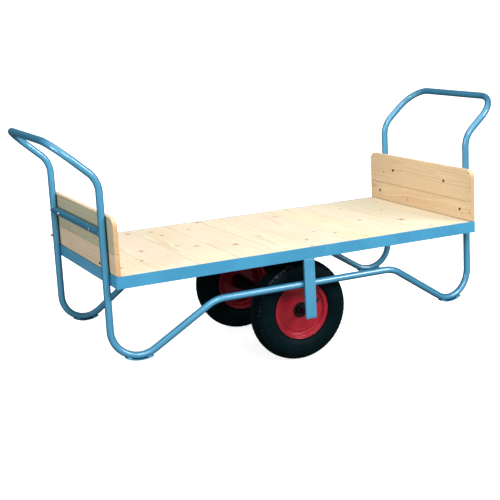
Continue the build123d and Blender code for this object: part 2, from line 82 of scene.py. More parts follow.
# ---------------------------------------------------------------------------
# Sizes read from the CAD, in millimetres
# ---------------------------------------------------------------------------
rail_lo, rail_hi = box_mm("near_side_rail")
RAIL_TOP, RAIL_BOTTOM = rail_hi[2], rail_lo[2]
RAIL_LEG = rail_hi[1] - rail_lo[1]
RAIL_THICK = 5.0
HALF_L, HALF_W = box_mm("right_end_rail")[1][:2]

bracket_lo, bracket_hi = box_mm("near_axle_bracket")
BRACKET_HALF = (bracket_hi[0] - bracket_lo[0]) / 2
BRACKET_Y = min(abs(bracket_lo[1]), abs(bracket_hi[1]))    # its inner face

bar_lo, bar_hi = box_mm("right_crossbar")
TUBE_R = (bar_hi[0] - bar_lo[0]) / 2
POST_X = (bar_lo[0] + bar_hi[0]) / 2
POST_Y = bar_hi[1]
BAR_Z = (bar_lo[2] + bar_hi[2]) / 2

loop_hi = box_mm("right_end_loop")[1]
STRUT_Y = loop_hi[1] - TUBE_R
HANDLE_X, HANDLE_Z = loop_hi[0] - TUBE_R, loop_hi[2] - TUBE_R
sleeve_lo, sleeve_hi = box_mm("near_joint_sleeve")
STRUT_Z = (sleeve_lo[2] + sleeve_hi[2]) / 2

axle_lo, axle_hi = box_mm("axle")
AXLE_Z = (axle_lo[2] + axle_hi[2]) / 2
AXLE_R = (axle_hi[2] - axle_lo[2]) / 2
hub_lo, hub_hi = box_mm("near_hub")
HUB_R = (hub_hi[0] - hub_lo[0]) / 2
WHEEL_CENTRE = {j["child"]: np.array(j["pos_m"]) * 1000.0 for j in frame["joints"]}

# Wheel axis height in the wheels' textures, metres
WHEEL_AXIS_Z = 0.2


# ---------------------------------------------------------------------------
# Shader graphs
# ---------------------------------------------------------------------------
class Field:
    """A shader socket that takes arithmetic like a number; each step adds a Math node."""
    def __init__(self, graph, socket):
        self.graph, self.socket = graph, socket

    def __add__(self, other):
        return self.graph.math("ADD", self, other)

    def __radd__(self, other):
        return self.graph.math("ADD", other, self)

    def __sub__(self, other):
        return self.graph.math("SUBTRACT", self, other)

    def __rsub__(self, other):
        return self.graph.math("SUBTRACT", other, self)

    def __mul__(self, other):
        return self.graph.math("MULTIPLY", self, other)

    def __rmul__(self, other):
        return self.graph.math("MULTIPLY", other, self)

    def __truediv__(self, other):
        return self.graph.math("DIVIDE", self, other)

    def __abs__(self):
        return self.graph.math("ABSOLUTE", self)

    def sqrt(self):
        return self.graph.math("SQRT", self)

    def fract(self):
        return self.graph.math("FRACT", self)

    def minimum(self, other):
        return self.graph.math("MINIMUM", self, other)

    def maximum(self, other):
        return self.graph.math("MAXIMUM", self, other)


class Graph:
    """The node tree of a material or world, built by function calls."""
    def __init__(self, owner):
        owner.use_nodes = True
        self.tree = owner.node_tree
        self.tree.nodes.clear()

    def put(self, socket, value):
        if isinstance(value, Field):
            self.tree.links.new(value.socket, socket)
        elif socket.type == "RGBA":
            socket.default_value = (*value, 1.0)
        else:
            socket.default_value = value

    def new(self, kind, inputs=None, **settings):
        """A node of the kind, with its inputs given by index or name."""
        node = self.tree.nodes.new("ShaderNode" + kind)
        for key, value in settings.items():
            setattr(node, key, value)
        for key, value in (inputs or {}).items():
            self.put(node.inputs[key], value)
        return node

    def node(self, kind, inputs=None, out=0, **settings):
        return Field(self, self.new(kind, inputs, **settings).outputs[out])

    def math(self, operation, a, b=0.0):
        return self.node("Math", {0: a, 1: b, 2: 0.0}, operation=operation)

    def split(self, vector):
        node = self.new("SeparateXYZ", {0: vector})
        return [Field(self, out) for out in node.outputs]

    def remap(self, value, lo, hi, to=(0.0, 1.0), kind="LINEAR"):
        inputs = {0: value, 1: lo, 2: hi, 3: to[0], 4: to[1]}
        return self.node("MapRange", inputs, interpolation_type=kind)

    def smooth(self, value, lo, hi, to=(0.0, 1.0)):
        return self.remap(value, lo, hi, to, "SMOOTHSTEP")

    def ramp(self, factor, stops):
        """stops: (position, colour)."""
        node = self.new("ValToRGB", {0: factor})
        elements = node.color_ramp.elements
        while len(elements) < len(stops):
            elements.new(0.5)
        for element, (position, color) in zip(elements, stops):
            element.position = position
            element.color = (*color, 1.0)
        return Field(self, node.outputs[0])


class Mat(Graph):
    """A material textured in object coordinates."""
    def __init__(self, name):
        self.material = bpy.data.materials.new(name)
        super().__init__(self.material)
        self.place = self.node("TexCoord", out="Object")
        self.normal = Field(self, self.place.socket.node.outputs["Normal"])

    def vector(self, x, y, z):
        return self.node("CombineXYZ", {0: x, 1: y, 2: z})

    def stretched(self, scale):
        """The place, scaled by axis; the sum is a zero offset."""
        scaled = self.node("VectorMath", {0: self.place, 1: scale}, operation="MULTIPLY")
        return self.node("VectorMath", {0: scaled, 1: (0, 0, 0)}, operation="ADD")

    def noise(self, scale=1.0, detail=3.0, rough=0.5, at=None):
        return self.node("TexNoise", {"Vector": at or self.place, "Scale": scale,
                                      "Detail": detail, "Roughness": rough})

    def mix(self, factor, a, b, blend="MIX"):
        return self.node("Mix", {0: factor, 6: a, 7: b}, out=2, data_type="RGBA",
                         blend_type=blend)

    def tinted(self, factor, color, tint):
        """The colour multiplied by a tint, as far as factor says."""
        return self.mix(factor, color, self.mix(1.0, color, tint, "MULTIPLY"))

    def bump(self, height, strength, distance):
        return self.node("Bump", {"Strength": strength, "Distance": distance, "Height": height})

    def corners(self, distance, lo, hi):
        """Ambient occlusion: 1 in tight corners, 0 in the open; a mask for painted shade."""
        occlusion = self.node("AmbientOcclusion", {"Distance": distance}, out="AO", samples=4)
        return self.smooth(occlusion, lo, hi, to=(1.0, 0.0))

    def wheel_place(self):
        """x, y, height over the wheel axis, and distance from it."""
        x, y, z = self.split(self.place)
        rise = z - WHEEL_AXIS_Z
        return x, y, rise, (x * x + rise * rise).sqrt()

    def principled(self, **values):
        inputs = {key.replace("_", " "): value for key, value in values.items()}
        return self.node("BsdfPrincipled", inputs)

    def finish(self, shader):
        self.new("OutputMaterial", {0: shader})
        return self.material

    def surface(self, **values):
        return self.finish(self.principled(**values))


def shade(color, factor):
    return tuple(factor * c for c in color)


def srgb(*levels):
    def linear(level):
        level /= 255.0
        return level / 12.92 if level <= 0.04045 else ((level + 0.055) / 1.055) ** 2.4
    return tuple(linear(level) for level in levels)


# ---------------------------------------------------------------------------
# Materials
# ---------------------------------------------------------------------------
def enamel(name, base, dark, light, rough, coat, spec, peel=1.0, coat_rough=0.16,
           coat_ior=1.5, wear_z=None, mouth=None, edge=0.0):
    """Sprayed enamel: colour drift, orange peel, painted shade in tight corners and small chips.

    wear_z is the height of an edge that is rubbed bare, mouth the radius of a hub mouth painted
    near-black as painted shade, and edge how far painted shade darkens where it turns from the
    eye."""
    mat = Mat(name)
    slow = mat.noise(scale=5.0, rough=0.55)
    mid = mat.noise(scale=42.0, detail=4.0, rough=0.6)
    fine = mat.noise(scale=520.0, detail=2.0, rough=0.6)
    # colour of the painted shade, in corners and at turned edges
    painted_shade_color = shade(dark, 0.42)
    color = mat.mix(mat.smooth(slow, lo=0.36, hi=0.66), dark, base)
    color = mat.mix(mat.smooth(mid, lo=0.52, hi=0.8) * 0.5, color, light)
    # painted shade: the colour darkens in tight corners, from ambient occlusion
    color = mat.mix(mat.corners(distance=0.016, lo=0.15, hi=0.75) * 0.42, color, painted_shade_color)
    # painted shade: the colour darkens where the surface turns from the eye
    if edge:
        facing = mat.node("LayerWeight", {"Blend": 0.5}, out="Facing")
        turn = mat.smooth(facing, lo=0.04, hi=0.62)
        color = mat.mix(turn * edge, color, painted_shade_color)

    # chips: small cells bared to steel inside sparse patches
    cell = mat.node("TexVoronoi", {"Vector": mat.place, "Scale": 95.0}, out="Distance")
    patch = mat.noise(scale=11.0, detail=4.0, rough=0.6)
    chip = mat.smooth(cell, lo=0.10, hi=0.075) * mat.smooth(patch, lo=0.66, hi=0.70)
    if wear_z is not None:
        height = mat.split(mat.place)[2]
        worn = mat.noise(scale=60.0, detail=5.0, rough=0.7)
        rub = (mat.smooth(height, lo=wear_z - 0.0016, hi=wear_z - 0.0002)
               * mat.smooth(worn, lo=0.54, hi=0.62))
        chip = chip.maximum(rub * 0.65)
    steel = mat.mix(mat.noise(scale=300.0, detail=2.0), (0.16, 0.17, 0.18), (0.34, 0.35, 0.36))
    color = mat.mix(chip, color, steel)
    # painted shade: the hub mouth is painted near-black, and made rougher and less glossy
    if mouth is not None:
        radius = mat.wheel_place()[3]
        radius = radius + (mat.noise(scale=140.0) - 0.5) * 0.003
        mouth_shade = mat.smooth(radius, lo=mouth + 0.0008, hi=mouth - 0.0008) * 0.97
        color = mat.mix(mouth_shade, color, (0.004, 0.0045, 0.005))

    gloss = mat.remap(mid, lo=0.3, hi=0.7, to=(rough - 0.05, rough + 0.08)) + chip * 0.2
    scuff = mat.noise(scale=70.0, detail=5.0, rough=0.75, at=mat.stretched((1.0, 1.0, 7.0)))
    gloss = gloss + mat.smooth(scuff, lo=0.56, hi=0.68) * 0.10
    height = mat.noise(scale=260.0, detail=2.0) * 0.8 + fine * 0.25
    height = height - chip * 1.5
    # along with the painted shade at turned edges, the coat and specular fade
    if edge:
        face = 1.0 - turn * 0.85
        coat = face * coat
        spec = face * spec
    if mouth is not None:
        gloss = gloss + mouth_shade * 0.25
        coat = (1.0 - mouth_shade) * coat
        spec = (1.0 - mouth_shade * 0.7) * spec
    return mat.surface(
        Base_Color=color, Roughness=gloss, Metallic=chip * 0.7, Specular_IOR_Level=spec,
        Normal=mat.bump(height, strength=0.22 * peel, distance=0.0006),
        Coat_Weight=coat, Coat_Roughness=coat_rough, Coat_IOR=coat_ior)


RING_WIDTH = 0.0046     # mean growth ring, metres


def pine(name, seed, axes, centre, knots, early, late, tint, contrast, outer_shade_tone=None):
    """Planed pine as a solid texture: growth rings about a tilted pith, fibres and knots.

    axes are the (across, thickness, length) axes, centre is (across, thickness) in metres
    and knots are (across, along, radius) in millimetres. early and late are the colours
    within a growth ring. The tint given last is painted shade on the face that looks to -X."""
    mat = Mat(name)
    rnd = random.Random(seed)
    place = mat.split(mat.place)
    across, depth, along = (place[axis] for axis in axes)
    offset = rnd.uniform(0, 50)
    pith_across = centre[0] + rnd.choice((-1, 1)) * rnd.uniform(0.004, 0.075)
    pith_depth = centre[1] - rnd.uniform(0.035, 0.10) * rnd.choice((1, 1, -1))
    slope = rnd.uniform(-0.035, 0.035)

    bends, distances, marks = [], [], []
    for knot_across, knot_along, radius in np.array(knots) / 1000:
        side = across - knot_across
        run = (along - knot_along) * 0.42
        bends.append(side * (2.2 * radius * radius)
                     / (side * side + run * run + 0.9 * radius * radius))
        distance = (side * side + run * run * 3.6).sqrt() / radius
        distances.append(distance)
        mark = rnd.choice((0.40, 0.62, 0.85, 1.0))
        marks.append(mat.smooth(distance, lo=4.6, hi=2.2) * mark)

    # distance from the pith, warped by slow and quick noise and bent round the knots
    at = mat.vector(across * 3.2, along * 1.5 + offset, depth * 3.2)
    warp = (mat.noise(scale=1.6, detail=2.0, at=at) - 0.5) * 0.05
    at = mat.vector(across * 38.0, along * 4.5, depth * 38.0 + offset)
    ripple = (mat.noise(detail=2.0, at=at) - 0.5) * 0.0022
    bent = (across - pith_across) + (warp + ripple)
    bent = bent + along * slope
    if knots:
        bent = bent - sum(bends[1:], bends[0])
    sunk = (depth - pith_depth) + ripple * 1.6
    radius = (bent * bent + sunk * sunk).sqrt()
    radius = radius + along * (rnd.choice((-1, 1)) * 0.012)

    # ring width and strength drift from year to year
    drift = mat.noise(detail=1.0, at=mat.vector(radius * 60.0, offset, 0.0))
    phase = radius / RING_WIDTH + drift * 2.4
    part = phase.fract()
    ring = mat.smooth(part, lo=0.25, hi=0.86) * mat.smooth(part, lo=1.0, hi=0.90)
    year = mat.noise(scale=0.9, detail=0.0,
                     at=mat.vector(mat.math("FLOOR", phase), offset, 0.0))
    strength = mat.remap(year, lo=0.3, hi=0.7, to=(0.35, 1.0)) * contrast
    patch = mat.noise(rough=0.6, at=mat.vector(across * 9.0, along * 2.2, offset))
    strength = strength * mat.remap(patch, lo=0.3, hi=0.7, to=(0.55, 1.2))

    # marks drawn out along the grain
    fibre = mat.noise(rough=0.6, at=mat.vector(bent * 620.0, along * 16.0, depth * 620.0))
    at = mat.vector(bent * 95.0, along * 1.8 + offset, depth * 95.0)
    streak = mat.noise(detail=4.0, rough=0.62, at=at)
    at = mat.vector(across * 6.0 + offset, along * 2.6, depth * 6.0)
    blotch = mat.noise(rough=0.55, at=at)
    at = mat.vector(bent * 420.0, along * 30.0 + offset, depth * 420.0)
    resin = mat.noise(detail=1.0, rough=0.4, at=at)
    color = mat.mix(ring * strength, early, late)
    streak = mat.smooth(streak, lo=0.5, hi=0.78) * (0.55 * contrast + 0.12)
    color = mat.mix(streak, color, late)
    color = mat.mix(mat.smooth(blotch, lo=0.46, hi=0.74) * 0.42, color, tint)
    color = mat.mix(mat.remap(fibre, lo=0.3, hi=0.7, to=(0.07, 0.0)), color, shade(late, 0.45))
    color = mat.mix(mat.smooth(resin, lo=0.70, hi=0.76) * 0.35, color, shade(late, 0.5))
    ridge = ring * 0.5

    if knots:
        nearest = reduce(Field.minimum, distances)
        force = reduce(Field.maximum, marks)
        # distance in knot radii: a halo, the ringed knot, then its dark rim
        reach = nearest + (mat.noise(scale=210.0) - 0.5) * 0.9
        halo = mat.smooth(reach, lo=4.2, hi=1.0) * (force * 0.55)
        color = mat.mix(halo, color, shade(late, 0.92))
        knot = mat.ramp((reach * 2.6).fract(), [
            (0.0, srgb(178, 128, 92)), (0.55, srgb(150, 100, 70)), (1.0, srgb(122, 78, 54))])
        knot = mat.mix(mat.smooth(reach, lo=0.55, hi=0.1), knot, srgb(98, 62, 44))
        color = mat.mix(mat.smooth(reach, lo=1.12, hi=0.80) * (force * 0.90), color, knot)
        rim = mat.smooth(reach, lo=0.72, hi=0.97) * mat.smooth(reach, lo=1.24, hi=1.0) * force
        color = mat.mix(rim * 0.60, color, srgb(92, 58, 40))
        ridge = ridge - rim * 1.2

    # painted shade in the joints and corners, from ambient occlusion
    joint_shade = mat.corners(distance=0.010, lo=0.2, hi=0.85) * 0.88
    color = mat.mix(joint_shade, color, srgb(116, 76, 46))
    # end grain is darker; a given tint is painted shade on the face that looks to -X
    normal = mat.split(mat.normal)
    end_grain = mat.smooth(abs(normal[axes[2]]), lo=0.70, hi=0.96)
    color = mat.tinted(end_grain * 0.85, color, (0.90, 0.74, 0.56))
    if outer_shade_tone is not None:
        outer = mat.smooth(normal[0] * -1.0, lo=0.5, hi=0.95)
        cloud = mat.noise(detail=4.0, rough=0.6,
                          at=mat.vector(across * 14.0, along * 5.0, offset))
        outer = outer * mat.remap(cloud, lo=0.3, hi=0.7, to=(0.75, 1.0))
        color = mat.tinted(outer, color, outer_shade_tone)
    return mat.surface(
        Base_Color=color, Roughness=mat.remap(ring, lo=0.0, hi=1.0, to=(0.62, 0.48)),
        Normal=mat.bump(fibre * 0.5 + ridge, strength=0.35, distance=0.0005),
        Specular_IOR_Level=0.32)


def metal(name, base, dark, rough, brush=(1.0, 1.0, 1.0), rust=0.0):
    """Bare or plated metal; brush stretches the fine grain by axis."""
    mat = Mat(name)
    grain = mat.noise(scale=900.0, rough=0.6, at=mat.stretched(brush))
    slow = mat.noise(scale=60.0, detail=4.0, rough=0.6)
    color = mat.mix(mat.smooth(slow, lo=0.35, hi=0.7), dark, base)
    color = mat.mix(mat.smooth(grain, lo=0.5, hi=0.75) * 0.25, color, shade(base, 1.2))
    if rust:
        spots = mat.noise(scale=35.0, detail=6.0, rough=0.7)
        color = mat.mix(mat.smooth(spots, lo=0.58, hi=0.72) * rust, color, srgb(110, 62, 36))
    return mat.surface(
        Base_Color=color, Metallic=1.0,
        Roughness=mat.remap(slow, lo=0.3, hi=0.7, to=(rough - 0.06, rough + 0.12)),
        Normal=mat.bump(grain, strength=0.15, distance=0.0003))


def rubber_color(mat, base, light):
    slow = mat.noise(scale=14.0, detail=4.0, rough=0.6)
    return mat.mix(mat.smooth(slow, lo=0.35, hi=0.7), base, light)


def dusted(mat, color, amount):
    """The colour under patchy dust, and the dust itself."""
    patches = mat.noise(scale=55.0, detail=5.0, rough=0.7)
    dust = mat.smooth(patches, lo=0.52, hi=0.75) * amount
    return mat.mix(dust, color, (0.030, 0.040, 0.042)), dust


def rubber(name, base, light, rough, dust, grain=480.0, bump=0.35):
    """Plain rubber or black plastic; grain is the scale of its fine texture."""
    mat = Mat(name)
    fine = mat.noise(scale=grain, rough=0.6)
    color, dust = dusted(mat, rubber_color(mat, base, light), dust)
    gloss = mat.remap(fine, lo=0.3, hi=0.7, to=(rough - 0.05, rough + 0.08))
    return mat.surface(
        Base_Color=color, Roughness=gloss + dust * 0.25,
        Normal=mat.bump(fine, strength=bump, distance=0.0004), Specular_IOR_Level=0.35)


def tread_rubber(name, base, light, worn):
    """Tyre rubber with mould lines on the sidewalls, and faint scuffs with painted glints on the
    outer shoulder blocks.
    """
    mat = Mat(name)
    x, y, rise, radius = mat.wheel_place()
    outboard = abs(y) - 0.267
    degrees = mat.math("ARCTAN2", rise, x) * (180.0 / math.pi)
    fine = mat.noise(scale=480.0, rough=0.6)
    color = rubber_color(mat, base, light)
    # mould lines 4.2 mm apart
    line = mat.math("SINE", radius * (TAU / 0.0042))
    wall = mat.smooth(radius, lo=0.118, hi=0.124) * mat.smooth(radius, lo=0.176, hi=0.170)
    color = mat.mix(mat.smooth(line, lo=0.2, hi=0.9) * wall * 0.45, color, shade(light, 2.4))
    color, _ = dusted(mat, color, 0.12)
    # faint scuffs on one block in every 3 degrees, with painted glints strongest from 98 to 142
    # degrees round the wheel
    band = mat.smooth(radius, lo=0.1785, hi=0.1800) * mat.smooth(radius, lo=0.1865, hi=0.1850)
    patch = mat.smooth(mat.noise(scale=70.0, rough=0.6), lo=0.40, hi=0.62)
    block = abs((degrees / 3.0 + 0.5).fract() - 0.5)
    block = mat.smooth(block, lo=0.27, hi=0.16)
    glint_window = 0.16 + 0.84 * (mat.smooth(degrees, lo=98.0, hi=104.0)
                           * mat.smooth(degrees, lo=142.0, hi=134.0))
    scuff = band * block * (patch * glint_window)
    scuff = scuff * (mat.smooth(outboard, lo=0.02, hi=0.03) * 0.8)
    color = mat.mix(scuff, color, worn)
    gloss = mat.remap(fine, lo=0.3, hi=0.7, to=(0.46, 0.58))
    return mat.surface(
        Base_Color=color, Roughness=gloss - scuff * 0.15,
        Normal=mat.bump(fine, strength=0.35, distance=0.0004),
        Specular_IOR_Level=0.06 + scuff * 0.4)


BLUE_PAINT = dict(base=(0.070, 0.365, 0.600), dark=(0.056, 0.320, 0.540),
                  light=(0.092, 0.405, 0.645))
RED_PAINT = dict(base=(0.43, 0.016, 0.031), dark=(0.37, 0.012, 0.025),
                 light=(0.49, 0.024, 0.042), rough=0.33, coat=0.14, spec=0.22, peel=0.6)

BLUE = enamel("blue_enamel", **BLUE_PAINT, rough=0.42, coat=1.0, spec=0.30, peel=0.04,
              coat_rough=0.25, coat_ior=1.85, edge=0.90)
BLUE_RAIL = enamel("blue_enamel_rail", **BLUE_PAINT, rough=0.36, coat=0.30, spec=0.35,
                   peel=0.5, wear_z=0.4640)
RED = enamel("red_enamel", **RED_PAINT)
RED_HUB = enamel("red_enamel_hub", **RED_PAINT, mouth=0.0306)
# worn is the colour of the faint scuffs and of the painted glints on the outer shoulder blocks
TYRE = tread_rubber("tyre_rubber", base=(0.0004, 0.0050, 0.0068),
                    light=(0.0009, 0.0074, 0.0098), worn=(0.15, 0.20, 0.20))
TUBE = rubber("tube_rubber", base=(0.010, 0.010, 0.011), light=(0.018, 0.018, 0.018),
              rough=0.5, dust=0.05)
VALVE = rubber("valve_rubber", base=(0.007, 0.007, 0.008), light=(0.012, 0.012, 0.012),
               rough=0.45, dust=0.1, grain=900.0)
PLASTIC = rubber("valve_plastic", base=(0.008, 0.008, 0.009), light=(0.014, 0.014, 0.014),
                 rough=0.38, dust=0.06, grain=1200.0, bump=0.15)
SEAL = rubber("seal_rubber", base=(0.008, 0.007, 0.007), light=(0.016, 0.014, 0.012),
              rough=0.42, dust=0.12, grain=1000.0)
ZINC = metal("zinc_plate", base=(0.66, 0.67, 0.68), dark=(0.50, 0.50, 0.49), rough=0.34)
# the axle's steel is near-black, far darker than bare steel
BRIGHT = metal("dark_axle_steel", base=(0.105, 0.110, 0.115), dark=(0.016, 0.017, 0.018),
               rough=0.30, brush=(1.0, 0.06, 1.0), rust=0.04)
BEARING = metal("bearing_steel", base=(0.085, 0.088, 0.092), dark=(0.035, 0.034, 0.033),
                rough=0.36)
BARE = metal("drawn_steel", base=(0.34, 0.34, 0.35), dark=(0.22, 0.21, 0.20), rough=0.42,
             brush=(0.06, 1.0, 1.0), rust=0.35)
OXIDE = metal("black_oxide", base=(0.045, 0.048, 0.052), dark=(0.02, 0.021, 0.022),
              rough=0.42)
# on no piece, but part of the material set
metal("nickel_brass", base=(0.55, 0.50, 0.38), dark=(0.38, 0.34, 0.26), rough=0.3)
BLACK = enamel("black_satin", base=(0.006, 0.008, 0.010), dark=(0.004, 0.006, 0.007),
               light=(0.010, 0.013, 0.015), rough=0.50, coat=0.0, spec=0.25)


# ---------------------------------------------------------------------------
# Curves and directions
# ---------------------------------------------------------------------------
def noise_at(x, y, z, scale):
    return noise.noise(Vector((x * scale, y * scale, z * scale)))


def unit(vector):
    return vector / np.linalg.norm(vector)


def full_turn(count):
    return np.linspace(0, TAU, count, endpoint=False)


def around(axis, angles):
    """The unit axis, and the unit directions square to it at the angles."""
    axis = unit(np.asarray(axis, float))
    helper = np.array([0, 0, 1.0]) if abs(axis[2]) < 0.9 else np.array([1.0, 0, 0])
    first = unit(np.cross(helper, axis))
    second = np.cross(axis, first)
    return axis, np.cos(angles)[:, None] * first + np.sin(angles)[:, None] * second


def ring_rows(origin, axis, angles, profile):
    """A ring of points for each (distance along axis, radius); both may vary round it."""
    axis, out = around(axis, angles)
    return [origin + axis * np.reshape(t, (-1, 1)) + out * np.reshape(r, (-1, 1))
            for t, r in profile]


def hoop(angles, radius, x, y, z):
    """Points of a circle about a line along Y; y may vary round it."""
    return np.stack([x + radius * np.cos(angles), y + 0 * angles,
                     z + radius * np.sin(angles)], 1)


def rounded(points, radii, steps=4):
    """Closed outline with every corner rounded by up to its radius."""
    points = [np.array(p, float) for p in points]
    out = []
    for i, corner in enumerate(points):
        back, ahead = points[i - 1] - corner, points[(i + 1) % len(points)] - corner
        back_len, ahead_len = np.linalg.norm(back), np.linalg.norm(ahead)
        back, ahead = back / back_len, ahead / ahead_len
        angle = math.acos(max(-1, min(1, float(back @ ahead))))
        if angle > math.radians(177):
            out.append(corner)
            continue
        radius = radii[i] if isinstance(radii, list) else radii
        trim = min(radius / math.tan(angle / 2), 0.46 * back_len, 0.46 * ahead_len)
        start, end = corner + back * trim, corner + ahead * trim
        for k in range(steps + 1):
            s = k / steps
            out.append((1 - s) ** 2 * start + 2 * s * (1 - s) * corner + s * s * end)
    return out


def densified(points, step):
    """A closed outline with its long edges split."""
    out = []
    for k, start in enumerate(points):
        run = points[(k + 1) % len(points)] - start
        count = max(1, int(np.linalg.norm(run) / step))
        out += [start + run * t / count for t in range(count)]
    return np.array(out)


def catmull(points, step):
    """Smooth open curve through the points, sampled about every step."""
    pts = [np.array(p, float) for p in points]
    pts = [2 * pts[0] - pts[1]] + pts + [2 * pts[-1] - pts[-2]]
    out = []
    for i in range(1, len(pts) - 2):
        before, start, end, after = pts[i - 1:i + 3]
        count = max(1, int(round(np.linalg.norm(end - start) / step)))
        for k in range(count):
            t = k / count
            out.append(0.5 * ((2 * start) + (-before + end) * t
                              + (2 * before - 5 * start + 4 * end - after) * t * t
                              + (-before + 3 * start - 3 * end + after) * t ** 3))
    out.append(pts[-2])
    return np.array(out)


def hex_radius(angles, flats):
    """Radius of a hexagon that measures flats across."""
    return (flats / 2) / np.cos((angles + math.pi / 6) % (math.pi / 3) - math.pi / 6)


# ---------------------------------------------------------------------------
# Meshes
# ---------------------------------------------------------------------------
def quads(rows, columns, closed):
    """Faces of a grid whose rows are loops; closed joins the last row to the first."""
    i, j = np.meshgrid(np.arange(rows if closed else rows - 1), np.arange(columns),
                       indexing="ij")
    next_i, next_j = (i + 1) % rows, (j + 1) % columns
    return np.stack([i * columns + j, i * columns + next_j, next_i * columns + next_j,
                     next_i * columns + j], -1).reshape(-1, 4).tolist()


class Shape:
    """Collects the closed shells of one piece, in millimetres."""
    def __init__(self):
        self.verts, self.faces, self.count = [], [], 0

    def add(self, verts, faces):
        verts = np.asarray(verts, float).reshape(-1, 3)
        self.verts.append(verts)
        self.faces += [[i + self.count for i in face] for face in faces]
        self.count += len(verts)
        return self

    def grid(self, points, closed=False):
        """points[station, ring point, xyz]; capped at both ends unless it closes on itself."""
        points = np.asarray(points)
        rows, columns = points.shape[:2]
        faces = quads(rows, columns, closed)
        if not closed:
            faces.append(list(range(columns))[::-1])
            faces.append([(rows - 1) * columns + k for k in range(columns)])
        return self.add(points, faces)

    def turned(self, origin, axis, profile, segments):
        """Closed profile of (distance along axis, radius) turned about the axis.
        One that starts and ends at radius 0 gets a pole at each end."""
        origin = np.asarray(origin, float)
        angles = full_turn(segments)
        if profile[0][1] != 0 or profile[-1][1] != 0:
            return self.grid(np.stack(ring_rows(origin, axis, angles, profile), 1), closed=True)
        middle = profile[1:-1]
        rings = np.array(ring_rows(origin, axis, angles, middle))
        axis = unit(np.asarray(axis, float))
        poles = [origin + axis * profile[0][0], origin + axis * profile[-1][0]]
        faces = quads(len(middle), segments, False)
        first = len(middle) * segments
        last = first - segments
        faces += [[k, first, (k + 1) % segments] for k in range(segments)]
        faces += [[last + k, last + (k + 1) % segments, first + 1] for k in range(segments)]
        return self.add(np.vstack([rings.reshape(-1, 3), poles]), faces)

    def rod(self, origin, axis, start, end, radius, segments):
        profile = [(start, 0), (start, radius), (end, radius), (end, 0)]
        return self.turned(origin, axis, profile, segments)

    def weld(self, path, radius, closed=False, seed=0, flat=1.0, up=(0.31, 0.53, 0.79)):
        """A weld bead: overlapping ripples, uneven width, open ends that taper away."""
        path = np.asarray(path, float)
        if closed:
            path = np.vstack([path, path[:1]])
        lengths = np.linalg.norm(np.diff(path, axis=0), axis=1)
        lengths = np.concatenate([[0], np.cumsum(lengths)])
        count = max(6, int(lengths[-1] / 0.8))
        run = np.linspace(0, lengths[-1], count + 1)
        line = np.stack([np.interp(run, lengths, path[:, k]) for k in range(3)], 1)
        if closed:
            line, run = line[:-1], run[:-1]
            tangent = np.roll(line, -1, 0) - np.roll(line, 1, 0)
        else:
            tangent = np.gradient(line, axis=0)
        tangent /= np.linalg.norm(tangent, axis=1)[:, None] + 1e-12
        first = np.cross(tangent, np.array(up, float))
        first /= np.linalg.norm(first, axis=1)[:, None] + 1e-9
        second = np.cross(tangent, first)
        angles = full_turn(10)
        phase = random.Random(seed).uniform(0, 9)
        ripple_pitch = 2.6
        ripple = 0.84 + 0.22 * np.abs(np.cos(math.pi * run / ripple_pitch + phase)) ** 0.6
        slow = np.array([1 + 0.14 * noise_at(x, y, z, 0.09) + 0.08 * noise_at(z, x, y, 0.33)
                         for x, y, z in line])
        size = radius * ripple * slow
        if not closed:
            inset = np.minimum(run, run[-1] - run)
            taper = np.sqrt(np.clip(inset / (1.3 * radius), 0, 1))
            size = size * np.clip(0.35 + 0.65 * taper, 0, 1)
        section = (np.cos(angles)[None, :, None] * first[:, None, :]
                   + flat * np.sin(angles)[None, :, None] * second[:, None, :])
        self.grid(line[:, None, :] + size[:, None, None] * section, closed)

    def to_object(self, name):
        mesh = bpy.data.meshes.new(name)
        mesh.from_pydata((np.vstack(self.verts) * 0.001).tolist(), [], self.faces)
        edit = bmesh.new()
        edit.from_mesh(mesh)
        bmesh.ops.recalc_face_normals(edit, faces=edit.faces)
        edit.to_mesh(mesh)
        edit.free()
        return link_object(name, mesh)

    def make(self, name, mat, body, slot, node=None, angle=40, cut=None):
        """The finished piece: cut is a Shape taken out of it, node the CAD piece it
        replaces, angle the sharp-edge angle in degrees."""
        obj = self.to_object(name)
        if cut is not None:
            subtract(obj, cut.to_object("cut"))
        mesh = obj.data
        mesh.materials.clear()
        mesh.materials.append(mat)
        mesh.polygons.foreach_set("use_smooth", np.ones(len(mesh.polygons), bool))
        mesh.set_sharp_from_angle(angle=math.radians(angle))
        mesh.update()
        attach(obj, body)
        if node:
            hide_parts(node)


def subtract(obj, cutter):
    """Cut the cutter out of the object's mesh and remove the cutter."""
    modifier = obj.modifiers.new("holes", "BOOLEAN")
    modifier.operation = "DIFFERENCE"
    modifier.solver = "EXACT"
    modifier.object = cutter
    bpy.context.view_layer.update()
    depsgraph = bpy.context.evaluated_depsgraph_get()
    result = bpy.data.meshes.new_from_object(obj.evaluated_get(depsgraph))
    obj.modifiers.clear()
    uncut = obj.data
    obj.data = result
    result.name = obj.name
    bpy.data.meshes.remove(uncut)
    bpy.data.objects.remove(cutter)


